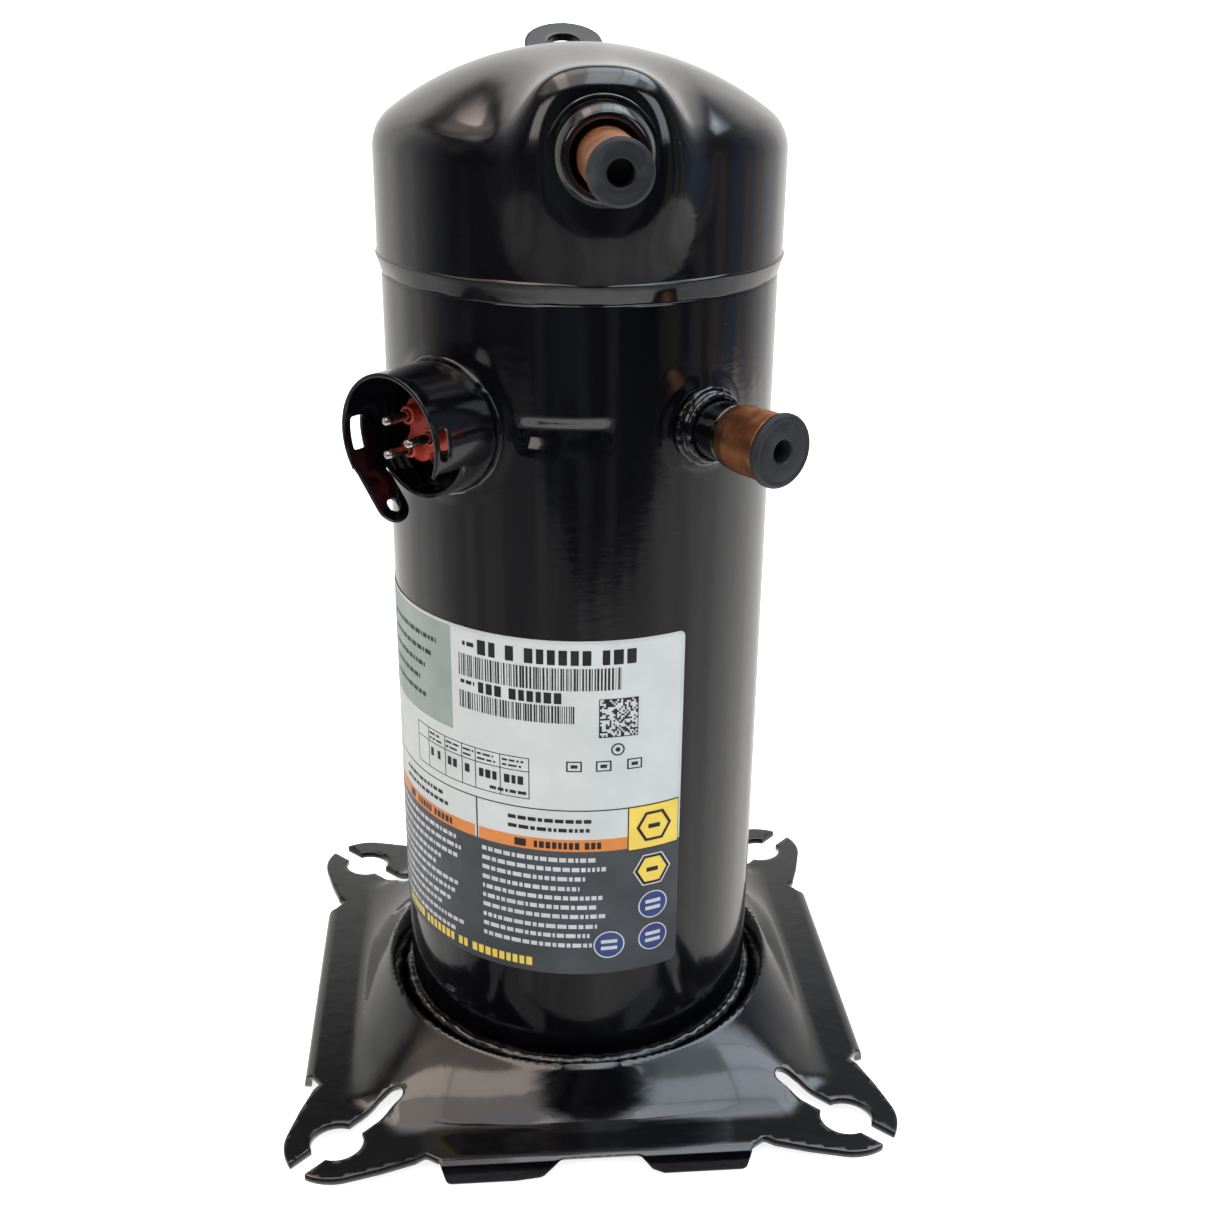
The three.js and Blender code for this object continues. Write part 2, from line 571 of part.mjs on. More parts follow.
function fixedScroll() {
  const f = FIXED;
  const rimFrom = ORBITING.baseTop + 2 * GAP;
  const body = turned([
    [0, f.wrapTop], [f.rimInner, f.wrapTop], [f.rimInner, rimFrom], [f.discRadius, rimFrom],
    [f.discRadius, f.baseTop], [f.hubRadius, f.baseTop], [f.hubRadius, f.hubTop], [f.recessOuter, f.hubTop],
    [f.recessOuter, f.recessFloor], [f.recessInner, f.recessFloor], [f.recessInner, f.hubTop], [0, f.hubTop],
  ], FACETS.large);
  const inlets = [SUCTION.angle - 90, SUCTION.angle + 90].map((angle) => (
    sector(f.rimInner - 1, f.discRadius + 1, angle - 18, angle + 18, f.earTo, f.wrapTop - 3, 4)
  ));
  let scroll = cut(
    join(body, wrap(rimFrom, f.wrapTop + 1, 0, 0)),
    rod(f.port, f.wrapTop - 1, f.hubTop + 1),
    rod(f.passage, f.baseTop, f.hubTop + 1),
    ...inlets,
  );
  for (const index of [0, 1, 2, 3]) {
    const half = HOUSING.pillarWidth / 2;
    const ear = box([f.rimInner + 1, -half, f.earFrom], [HOUSING.pillarTo, half, f.earTo], armTurn(index));
    scroll = cut(join(scroll, ear), boltHole(index, f.earFrom - 1, f.earTo + 1));
  }
  return scroll;
}

function orbitingScroll() {
  const o = ORBITING;
  const base = rod(o.baseRadius, o.bottom, o.baseTop, THROW, 0, FACETS.large);
  const hub = cut(
    rod(o.hubRadius, o.hubBottom, o.bottom + 1, THROW, 0, FACETS.medium),
    rod(BUSH.hub + GAP, o.hubBottom - 1, o.bottom, THROW, 0, FACETS.small),
  );
  const half = OLDHAM.key / 2 + GAP;
  const slotFrom = OLDHAM.keyCircle - THROW - half - GAP;
  const slotTop = OLDHAM.keyHigh + 2 * GAP;
  const slots = [1, -1].map((side) => {
    const ends = [side * slotFrom, side * (o.baseRadius + 5)].sort((a, b) => a - b);
    return box([THROW - half, ends[0], o.bottom - 1], [THROW + half, ends[1], slotTop]);
  });
  return cut(join(base, hub, wrap(o.baseTop - 1, o.baseTop + WRAP.height, 180, THROW)), ...slots);
}

// Two keys under the ring slide along X in the housing, two on top slide along Y in the orbiting scroll.
function oldhamKeys() {
  const half = OLDHAM.key / 2;
  const low = [OLDHAM.keyLow, OLDHAM.bottom - GAP];
  const high = [OLDHAM.top + GAP, OLDHAM.keyHigh];
  const places = [
    [THROW + OLDHAM.keyCircle, 0, low], [THROW - OLDHAM.keyCircle, 0, low],
    [THROW, OLDHAM.keyCircle, high], [THROW, -OLDHAM.keyCircle, high],
  ];
  places.forEach(([x, y, [from, to]], index) => {
    const key = box([x - half, y - half, from], [x + half, y + half, to]);
    addPiece(`oldham_key_${index + 1}`, FINISH.aluminium, key);
  });
}

function boltHole(index, from, to) {
  const turn = radians(armTurn(index));
  const [x, y] = [BOLT.circle * Math.cos(turn), BOLT.circle * Math.sin(turn)];
  return rod(BOLT.shank + GAP, from, to, x, y, FACETS.tiny);
}

function mainHousing() {
  const h = HOUSING;
  const core = turned([
    [BUSH.main + GAP, h.hubBottom], [h.hubRadius, h.hubBottom], [h.hubRadius, h.bottom],
    [h.discRadius, h.bottom], [h.discRadius, h.top], [h.bossRadius, h.top], [h.bossRadius, h.bossTop],
    [h.wellRadius, h.bossTop], [h.wellRadius, h.wellFloor], [BUSH.main + GAP, h.wellFloor],
  ]);
  let housing = core;
  for (const index of [0, 1, 2, 3]) {
    const turn = armTurn(index);
    const half = h.pillarWidth / 2;
    housing = join(
      housing,
      box([h.bossRadius - 4, -h.armWidth / 2, h.bottom], [h.reach, h.armWidth / 2, h.top], turn),
      box([h.pillarFrom, -half, h.top - 1], [h.pillarTo, half, h.pillarTop], turn),
    );
  }
  const keyway = OLDHAM.key / 2 + GAP;
  const [near, far] = [OLDHAM.keyCircle - THROW - keyway - GAP, OLDHAM.keyCircle + THROW + keyway + GAP];
  const keywayFloor = OLDHAM.keyLow - 2 * GAP;
  return cut(
    meet(housing, rod(h.reach, 200, 320, 0, 0, FACETS.large)),
    box([near, -keyway, keywayFloor], [far, keyway, h.top + 1]),
    box([-far, -keyway, keywayFloor], [-near, keyway, h.top + 1]),
    ...[0, 1, 2, 3].map((index) => boltHole(index, BOLT.bottom - 3, h.pillarTop + 1)),
  );
}

function scrollBolt(index) {
  const turn = radians(armTurn(index));
  const [x, y] = [BOLT.circle * Math.cos(turn), BOLT.circle * Math.sin(turn)];
  const shank = rod(BOLT.shank, BOLT.bottom, BOLT.headFrom + 1, x, y, FACETS.tiny);
  const head = rod(BOLT.head, BOLT.headFrom, BOLT.headTo, x, y, 6);
  addPiece(`scroll_bolt_${index + 1}`, FINISH.steel, join(shank, head));
}

function mufflerPlate() {
  const m = MUFFLER;
  const edge = SHELL.neckRadius;
  const plate = turned([
    [m.port, m.lift], [52, m.lift], [56, m.lift - 4], [60.5, m.rim], [edge, m.rim], [edge, m.rim + m.sheet],
    [62.3, m.rim + m.sheet], [58, m.lift - 1.5], [53, m.lift + m.sheet], [m.port, m.lift + m.sheet],
  ]);
  return cut(plate, rod(RELIEF.shank + GAP, m.lift - 5, m.lift + 5, 0, RELIEF.y, FACETS.tiny));
}

function floatingSeal() {
  const [inner, outer] = [FIXED.recessInner + 0.4, FIXED.recessOuter - 0.4];
  const bottom = FIXED.recessFloor + 1.2;
  const top = MUFFLER.lift - 1;
  return turned([
    [inner, bottom], [outer, bottom], [outer, bottom + 4.8], [30, bottom + 4.8], [30, top - 1.2],
    [23, top - 1.2], [23, top], [12, top], [12, top - 1.8], [inner, top - 1.8],
  ]);
}

function valveGuard() {
  const v = VALVE;
  const top = v.seat + v.guardHeight;
  const cup = turned([
    [v.guard - v.guardWall, v.seat], [v.guard, v.seat], [v.guard, top], [5, top], [5, top - v.guardWall],
    [v.guard - v.guardWall, top - v.guardWall],
  ]);
  const windows = [0, 90].map((turn) => box([-20, -5, v.seat + 2], [20, 5, top - 2.2], turn));
  return cut(cup, ...windows);
}

function reliefValve() {
  const r = RELIEF;
  const seat = MUFFLER.lift + MUFFLER.sheet + GAP;
  const body = turned([
    [r.vent, r.bottom], [r.shank, r.bottom], [r.shank, seat], [r.head, seat], [r.head, r.top],
    [r.vent, r.top], [r.vent, r.top - 2], [r.bore, r.top - 2], [r.bore, r.bottom + 1], [r.vent, r.bottom + 1],
  ], FACETS.tiny);
  addPiece('relief_valve_body', FINISH.bronze, body.translate([0, r.y, 0]));
  const plungerFrom = r.bottom + 6.5;
  const plunger = rod(r.plunger, plungerFrom, r.top - 2 - GAP, 0, r.y, FACETS.tiny);
  addPiece('relief_plunger', FINISH.steel, plunger);

  const [low, high, turns, wire] = [r.bottom + 1 + GAP, plungerFrom - GAP, 3, 0.4];
  const coil = new THREE.CatmullRomCurve3(Array.from({ length: turns * 8 + 1 }, (_, i) => {
    const angle = i * Math.PI / 4;
    const z = low + wire + (high - low - 2 * wire) * i / (turns * 8);
    return new THREE.Vector3(2.2 * Math.cos(angle), r.y + 2.2 * Math.sin(angle), z);
  }));
  const section = new THREE.Shape().absarc(0, 0, wire, 0, 2 * Math.PI, false);
  const options = { steps: turns * 12, curveSegments: 3, bevelEnabled: false, extrudePath: coil };
  addPiece('relief_spring', FINISH.steel, solid(new THREE.ExtrudeGeometry(section, options)));
}

// ---------------------------------------------------------------- crank, motor and lower end

function crankshaft() {
  const c = CRANK;
  const shaft = turned([
    [0, c.bottom], [c.lower, c.bottom], [c.lower, c.stepZ], [c.main, c.stepZ], [c.main, c.collarFrom],
    [c.collar, c.collarFrom], [c.collar, c.collarTo], [0, c.collarTo],
  ]);
  const pin = rod(c.pin, c.collarTo - 1, c.pinTop, THROW, 0);
  return cut(join(shaft, pin), rod(c.oilway, c.bottom - 1, c.pinTop + 1, THROW, 0, FACETS.tiny));
}

function rotor() {
  const m = MOTOR;
  return turned([
    [CRANK.main + GAP, m.stackBottom], [m.ringInner, m.stackBottom],
    [m.ringInner, m.stackBottom - m.ringHeight], [m.endRing, m.stackBottom - m.ringHeight],
    [m.endRing, m.stackBottom], [m.rotor, m.stackBottom], [m.rotor, m.stackTop], [m.endRing, m.stackTop],
    [m.endRing, m.stackTop + m.ringHeight], [m.ringInner, m.stackTop + m.ringHeight],
    [m.ringInner, m.stackTop], [CRANK.main + GAP, m.stackTop],
  ]);
}

// A ring on the rotor's end with a half disc on one side of it.
function counterweight(ringFrom, ringTo, weightFrom, weightTo, fromAngle) {
  const inner = CRANK.main + GAP;
  return join(
    tube(inner, MOTOR.endRing, ringFrom, ringTo, FACETS.medium),
    sector(inner, MOTOR.endRing, fromAngle, fromAngle + 180, weightFrom, weightTo, FACETS.medium / 2),
  );
}

function stator() {
  const m = MOTOR;
  let core = tube(m.bore, m.statorRadius, m.stackBottom, m.stackTop, FACETS.large);
  const half = m.slotWidth / 2;
  for (let index = 0; index < m.slots; index += 1) {
    const slot = box(
      [m.bore - 2, -half, m.stackBottom - 1], [m.bore + m.slotDepth, half, m.stackTop + 1],
      index * 360 / m.slots,
    );
    core = core.subtract(slot);
  }
  const flats = FOUR_SIDES.map((turn) => box([64, -30, 0], [80, 30, 300], turn + 45 + HOUSING.armAngle));
  return cut(core, ...flats);
}

function endTurns(stackEnd, away) {
  const z = (offset) => stackEnd + away * offset;
  return [
    [40, z(GAP)], [59, z(GAP)], [61, z(5)], [60, z(19)], [54, z(24)], [45, z(24)], [40, z(18)],
  ];
}

function winding() {
  const m = MOTOR;
  let coils = join(turned(endTurns(m.stackTop, 1)), turned(endTurns(m.stackBottom, -1)));
  const half = m.coilWidth / 2;
  for (let index = 0; index < m.slots; index += 1) {
    const side = box(
      [m.coilFrom, -half, m.stackBottom - 3], [m.coilTo, half, m.stackTop + 3], index * 360 / m.slots,
    );
    coils = coils.add(side);
  }
  return coils;
}

function lowerBracket() {
  const b = BRACKET;
  let bracket = tube(BUSH.lower + GAP, b.hub, b.bottom, b.top, FACETS.medium);
  for (const turn of [30, 150, 270]) {
    const half = b.armWidth / 2;
    bracket = join(
      bracket,
      box([b.hub - 3, -half, b.armFrom], [DISH.radius, half, b.armTo], turn),
      box([DISH.radius - 7, -half, b.padFrom], [DISH.radius, half, b.padTo], turn),
    );
  }
  return meet(bracket, rod(DISH.radius, b.padFrom - 1, b.top + 1, 0, 0, FACETS.large));
}

function oilPickup() {
  const top = CRANK.bottom - GAP;
  return turned([
    [3, 20], [6, 20], [6.5, 34], [CRANK.lower - 0.5, 40], [CRANK.lower - 0.5, top], [6.5, top], [6.5, 41],
    [3, 36],
  ], FACETS.small);
}

// ---------------------------------------------------------------- the assembly

addPiece('top_cap', FINISH.paint, topCap());
addPiece('shell', FINISH.paint, shell());
addPiece('lower_cap', FINISH.paint, lowerDish());
addPiece('base_plate', FINISH.paint, basePlate());
suctionFitting();
dischargeFitting();
terminal();
addPiece('lifting_lug', FINISH.paint, liftingLug());
addPiece('rating_label', FINISH.paper, ratingLabel());

addPiece('muffler_plate', FINISH.sheet, mufflerPlate());
addPiece('floating_seal', FINISH.iron, floatingSeal());
addPiece('fixed_scroll', FINISH.iron, fixedScroll());
addPiece('orbiting_scroll', FINISH.iron, orbitingScroll());
const OLDHAM_RING = tube(OLDHAM.inner, OLDHAM.outer, OLDHAM.bottom, OLDHAM.top, FACETS.large);
addPiece('oldham_ring', FINISH.aluminium, OLDHAM_RING.translate([THROW, 0, 0]));
oldhamKeys();
addPiece('main_bearing_housing', FINISH.iron, mainHousing());
for (const index of [0, 1, 2, 3]) scrollBolt(index);

const MAIN_BUSH = tube(CRANK.main + GAP, BUSH.main, HOUSING.hubBottom, HOUSING.wellFloor);
addPiece('main_bearing_bush', FINISH.bronze, MAIN_BUSH);
const THRUST_WASHER = tube(
  HOUSING.wellRadius + 1.5, HOUSING.bossRadius - 0.5, HOUSING.bossTop + GAP, ORBITING.bottom - GAP,
  FACETS.medium,
);
addPiece('thrust_washer', FINISH.steel, THRUST_WASHER);
const HUB_BUSH = tube(BUSH.drive + GAP, BUSH.hub, ORBITING.hubBottom + GAP, ORBITING.bottom - 2);
addPiece('orbiting_hub_bush', FINISH.bronze, HUB_BUSH.translate([THROW, 0, 0]));
const DRIVE_BUSH = tube(CRANK.pin + GAP, BUSH.drive, CRANK.collarTo + GAP, CRANK.pinTop - 0.5);
addPiece('drive_bush', FINISH.steel, DRIVE_BUSH.translate([THROW, 0, 0]));

addPiece('crankshaft', FINISH.steel, crankshaft());
addPiece('rotor', FINISH.laminations, rotor());
const upperRing = MOTOR.stackTop + MOTOR.ringHeight + GAP;
const lowerRing = MOTOR.stackBottom - MOTOR.ringHeight - GAP;
addPiece('upper_counterweight', FINISH.bronze, counterweight(
  upperRing, upperRing + 3, upperRing + 2, upperRing + 15, 90,
));
addPiece('lower_counterweight', FINISH.bronze, counterweight(
  lowerRing - 3, lowerRing, lowerRing - 14, lowerRing - 2, -90,
));
addPiece('stator', FINISH.laminations, stator());
addPiece('stator_winding', FINISH.winding, winding());
for (const index of [0, 1, 2]) leadWire(index);

addPiece('lower_bearing_bracket', FINISH.sheet, lowerBracket());
addPiece('lower_bearing_bush', FINISH.bronze, tube(CRANK.lower + GAP, BUSH.lower, BRACKET.bottom, BRACKET.top));
addPiece('oil_pickup', FINISH.sheet, oilPickup());
addPiece('sump_magnet', FINISH.iron, rod(9, DISH.floor + DISH.wall + GAP, 13.3, 30, -20));

const VALVE_DISC = rod(VALVE.disc, VALVE.seat, VALVE.seat + VALVE.thickness);
addPiece('discharge_valve_disc', FINISH.steel, VALVE_DISC);
addPiece('discharge_valve_guard', FINISH.steel, valveGuard());
reliefValve();
const BAFFLE = sector(59, 60.2, SUCTION.angle - 102, SUCTION.angle - 78, 256, 284);
addPiece('suction_baffle', FINISH.sheet, BAFFLE);

export default assembly;
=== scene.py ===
"""Looks for the scroll compressor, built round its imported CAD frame. Lengths are millimetres until a mesh is made."""

import json
import math

import bmesh
import bpy
import numpy as np
from mathutils import Matrix, Vector, noise
from mathutils.geometry import delaunay_2d_cdt


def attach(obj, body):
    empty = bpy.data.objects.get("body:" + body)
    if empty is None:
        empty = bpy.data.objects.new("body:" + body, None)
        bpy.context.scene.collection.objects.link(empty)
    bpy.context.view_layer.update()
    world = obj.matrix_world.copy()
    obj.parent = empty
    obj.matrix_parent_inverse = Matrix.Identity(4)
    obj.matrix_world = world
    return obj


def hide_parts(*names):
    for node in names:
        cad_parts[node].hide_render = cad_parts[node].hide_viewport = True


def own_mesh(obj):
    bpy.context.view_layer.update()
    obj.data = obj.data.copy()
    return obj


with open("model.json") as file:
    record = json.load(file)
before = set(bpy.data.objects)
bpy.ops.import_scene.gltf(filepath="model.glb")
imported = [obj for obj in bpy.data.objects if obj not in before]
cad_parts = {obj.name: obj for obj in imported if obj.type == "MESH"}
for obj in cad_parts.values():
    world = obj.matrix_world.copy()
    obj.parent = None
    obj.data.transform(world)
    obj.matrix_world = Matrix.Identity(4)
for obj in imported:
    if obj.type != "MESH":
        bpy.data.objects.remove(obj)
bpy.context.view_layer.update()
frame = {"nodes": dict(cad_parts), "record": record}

MM = 0.001
TAU = 2 * math.pi

# ---------------------------------------------------------------- sizes, as in the CAD

SHELL = dict(radius=69.85, wall=3, bottom=18, top=326, neck=67.8, neck_from=309, neck_to=313)
CAP = dict(radius=71.1, wall=3, bottom=316, knee_z=352.05, knee=15.3, dome=109.8, dome_z=275.8, boss=25.5, face=71.6)
BASE = dict(sheet=3, top=9, hole=95.25, lobe=19.3, bore=9.7, mouth=7.8, slot=7, slot_end=106.5, inner=67, groove=17.2)
SUCTION = dict(angle=32.3, z=269.3)
DISCHARGE = dict(angle=1.5, z=357.5)
TERMINAL = dict(angle=-43.8, z=267.9)
FENCE = dict(radius=22.1, sheet=1.5, high=95.6, low=82.2, low_to=341.0)
TAB = dict(angle=220.0, hole=14.7, half=6.15, middle=88.75, bore=2.25)
LUG = dict(x=-2.6, y=55, z=382, tilt=24.6, radius=14.4, hole=6, sheet=3.2, reach=10, foot=12, foot_angle=18.6)
DISH = dict(radius=66.55, wall=3, top=42, knee=14, floor=6)
RELIEF_COIL = dict(y=44, radius=2.2, wire=0.4, turns=3, foot=338.3, head=343.2)
LABEL = dict(left=-129.4, right=28.0, bottom=60.0, top=196.5, radius=70.2, stock=0.2, ink=0.02, field=113.2)


# ---------------------------------------------------------------- materials

class Nodes:
    """Short calls that add nodes to a shader tree and link them."""

    def __init__(self, tree):
        self.tree = tree

    def node(self, kind, inputs=None, **settings):
        made = self.tree.nodes.new("ShaderNode" + kind)
        for key, value in settings.items():
            setattr(made, key, value)
        for key, value in (inputs or {}).items():
            self.feed(made.inputs[key], value)
        return made

    def feed(self, socket, value):
        if isinstance(value, bpy.types.NodeSocket):
            self.tree.links.new(value, socket)
        else:
            socket.default_value = value

    def maths(self, operation, a, b=0.0):
        return self.node("Math", {0: a, 1: b}, operation=operation).outputs[0]

    def span(self, fac, low, high, to_low, to_high, **settings):
        inputs = {"Value": fac, "From Min": low, "From Max": high, "To Min": to_low, "To Max": to_high}
        return self.node("MapRange", inputs, **settings).outputs[0]

    def mix(self, fac, a, b):
        a, b = (value if isinstance(value, bpy.types.NodeSocket) else (*value, 1) for value in (a, b))
        return self.node("Mix", {0: fac, 6: a, 7: b}, data_type="RGBA").outputs[2]


class Look(Nodes):
    """A node material round one Principled shader. Its patterns sit in the piece's own coordinates, in metres."""

    def __init__(self, name, **sockets):
        self.material = bpy.data.materials.new(name)
        self.material.use_nodes = True
        super().__init__(self.material.node_tree)
        self.shader = self.tree.nodes["Principled BSDF"]
        self.place = self.tree.nodes.new("ShaderNodeTexCoord").outputs["Object"]
        for socket, value in sockets.items():
            self.shader.inputs[socket.replace("_", " ")].default_value = value

    def noise(self, scale, detail=3.0, stretch=(1, 1, 1), offset=(0, 0, 0), roughness=0.5):
        place = self.node("Mapping", {"Vector": self.place, "Scale": stretch, "Location": offset}).outputs[0]
        made = self.node("TexNoise", {"Vector": place, "Scale": scale, "Detail": detail, "Roughness": roughness})
        return made.outputs["Fac"]

    def cells(self, scale):
        return self.node("TexVoronoi", {"Vector": self.place, "Scale": scale}).outputs["Distance"]

    def height(self):
        return self.node("SeparateXYZ", {"Vector": self.place}).outputs["Z"]

    def ramp(self, fac, *stops):
        """A colour ramp; each stop is (position, colour or grey)."""
        made = self.node("ValToRGB", {"Fac": fac})
        elements = made.color_ramp.elements
        while len(elements) < len(stops):
            elements.new(0.5)
        for element, (position, value) in zip(elements, stops):
            element.position = position
            element.color = (*value, 1) if isinstance(value, tuple) else (value, value, value, 1)
        return made.outputs["Color"]

    def colour(self, value):
        self.feed(self.shader.inputs["Base Color"], value)
        return self

    def rough(self, value):
        self.feed(self.shader.inputs["Roughness"], value)
        return self

    def bump(self, height, distance, strength=1.0):
        """Adds one more layer of fine relief."""
        inputs = {"Height": height, "Distance": distance * MM, "Strength": strength}
        before = self.shader.inputs["Normal"].links
        if before:
            inputs["Normal"] = before[0].from_socket
        relief = self.node("Bump", inputs).outputs["Normal"]
        self.tree.links.new(relief, self.shader.inputs["Normal"])
        return self


def black_paint(name, rough=(0.07, 0.16), dust=0.05, waves=0.25):
    """Gloss black enamel: soft orange peel, faint smears and a few pale specks of dust."""
    look = Look(name, Specular_IOR_Level=0.55, Coat_Weight=0.35, Coat_Roughness=0.06)
    smear = look.noise(16, 4, (1, 1, 0.35))
    specks = look.ramp(look.cells(210), (0.0, 1.0), (dust, 0.0))
    patches = look.ramp(look.noise(40, 2, offset=(3, 1, 2)), (0.5, 0.0), (0.62, 1.0))
    speckle = look.maths("MULTIPLY", specks, patches)
    tint = look.ramp(smear, (0.3, (0.0015, 0.0017, 0.003)), (0.7, (0.004, 0.0042, 0.0055)))
    look.colour(look.mix(speckle, tint, (0.2, 0.19, 0.17)))
    look.rough(look.span(smear, 0.3, 0.7, *rough))
    look.bump(look.noise(420, 2), 0.05, 0.25)
    look.bump(look.noise(190, 3, (1, 1, 2.4)), 0.07, 0.5)
    look.bump(look.noise(55, 2), waves, 0.35)
    return look


def copper(name, brown):
    """Drawn copper with a brown heat patina and fine marks round the tube."""
    look = Look(name, Metallic=1.0)
    clouds = look.noise(75, 5, roughness=0.6)
    blotch = look.noise(160, 4, offset=(2, 0, 1))
    bright = look.ramp(clouds, (0.3, (0.40, 0.150, 0.065)), (0.55, (0.56, 0.24, 0.11)), (0.75, (0.66, 0.33, 0.17)))
    dark = look.ramp(blotch, (0.3, (0.13, 0.042, 0.020)), (0.7, (0.32, 0.125, 0.055)))
    look.colour(look.mix(look.span(look.noise(95, 4, offset=(0, 4, 0)), 0.38, 0.62, 0.0, brown), bright, dark))
    look.rough(look.span(blotch, 0.3, 0.7, 0.34, 0.55))
    look.bump(look.noise(900, 2, (1, 1, 6)), 0.04, 0.4)
    return look


def rubber(name):
    """Matte moulded rubber with chalky smudges and moulding grain."""
    look = Look(name, Specular_IOR_Level=0.35)
    smudge = look.ramp(look.noise(110, 5, offset=(1, 2, 3)), (0.52, 0.0), (0.72, 1.0))
    base = look.ramp(look.noise(30, 3), (0.3, (0.013, 0.014, 0.018)), (0.7, (0.022, 0.023, 0.028)))
    look.colour(look.mix(look.maths("MULTIPLY", smudge, 0.35), base, (0.075, 0.077, 0.083)))
    look.rough(look.span(smudge, 0, 1, 0.52, 0.75))
    look.bump(look.noise(1500, 3), 0.05, 0.5)
    return look


def insulator(name):
    """Glossy red moulding, a little darker in patches, and darker all over than the moulding's own red: painted shade
    for its place down in the terminal fence.
    """
    look = Look(name, Specular_IOR_Level=0.5, Subsurface_Weight=0.05)
    look.shader.inputs["Subsurface Scale"].default_value = 0.002
    # painted shade: both tones of the red are set low to stand for the shade inside the fence's cup
    look.colour(look.ramp(look.noise(90, 3), (0.3, (0.20, 0.018, 0.012)), (0.7, (0.33, 0.036, 0.022))))
    look.rough(look.span(look.noise(240, 3), 0.3, 0.7, 0.28, 0.42))
    look.bump(look.noise(700, 2), 0.05, 0.4)
    return look


def metal(name, dark, light, rough=(0.25, 0.45), grain=(1, 1, 1), scale=160, depth=0.05):
    """Bare metal with a grain: machined, ground or plated, by its stretch and scale."""
    look = Look(name, Metallic=1.0)
    streaks = look.noise(scale, 4, grain)
    look.colour(look.ramp(streaks, (0.3, dark), (0.7, light)))
    look.rough(look.span(look.noise(scale * 0.4, 3, grain, (1, 1, 1)), 0.3, 0.7, *rough))
    look.bump(look.noise(scale * 5, 2, grain), depth, 0.5)
    return look


def plain(name, dark, light, rough=(0.4, 0.6), scale=120, depth=0.04):
    """Paint, print, plastic or paper: two close tones, a roughness that wanders and a fine tooth."""
    look = Look(name)
    look.colour(look.ramp(look.noise(scale, 4), (0.3, dark), (0.7, light)))
    look.rough(look.span(look.noise(scale * 2, 3, offset=(1, 2, 1)), 0.3, 0.7, *rough))
    look.bump(look.noise(scale * 8, 2), depth, 0.4)
    return look


def laminations(name):
    """A stack of thin electrical sheets: fine level lines up the side."""
    look = Look(name, Metallic=0.9)
    lines = look.maths("SINE", look.maths("MULTIPLY", look.height(), TAU / (1.3 * MM)))
    tone = look.ramp(look.noise(90, 3), (0.3, (0.07, 0.075, 0.085)), (0.7, (0.13, 0.135, 0.15)))
    look.colour(look.mix(look.span(lines, -1, 1, 0.0, 0.5), tone, (0.03, 0.03, 0.035)))
    look.rough(look.span(look.noise(200, 3), 0.3, 0.7, 0.35, 0.55))
    look.bump(lines, 0.12, 0.6)
    return look


def enamelled_wire(name):
    """Rounds of varnished copper wire seen as fine ridges over the coil, with painted shade in the grooves between
    rounds and painted highlight on their crowns.
    """
    look = Look(name, Metallic=0.7, Coat_Weight=0.5, Coat_Roughness=0.2)
    wander = look.noise(90, 2)
    level = look.maths("MULTIPLY", look.height(), TAU / (1.1 * MM))
    ridges = look.maths("SINE", look.maths("ADD", level, look.maths("MULTIPLY", wander, 14.0)))
    # painted shade and highlight: the ridges that drive the bump also turn the colour dark in the grooves and bright on
    # the crowns
    look.colour(look.ramp(look.span(ridges, -1, 1, 0, 1), (0.0, (0.14, 0.035, 0.012)), (1.0, (0.52, 0.19, 0.07))))
    look.rough(look.span(wander, 0.3, 0.7, 0.28, 0.45))
    look.bump(ridges, 0.35, 0.7)
    return look


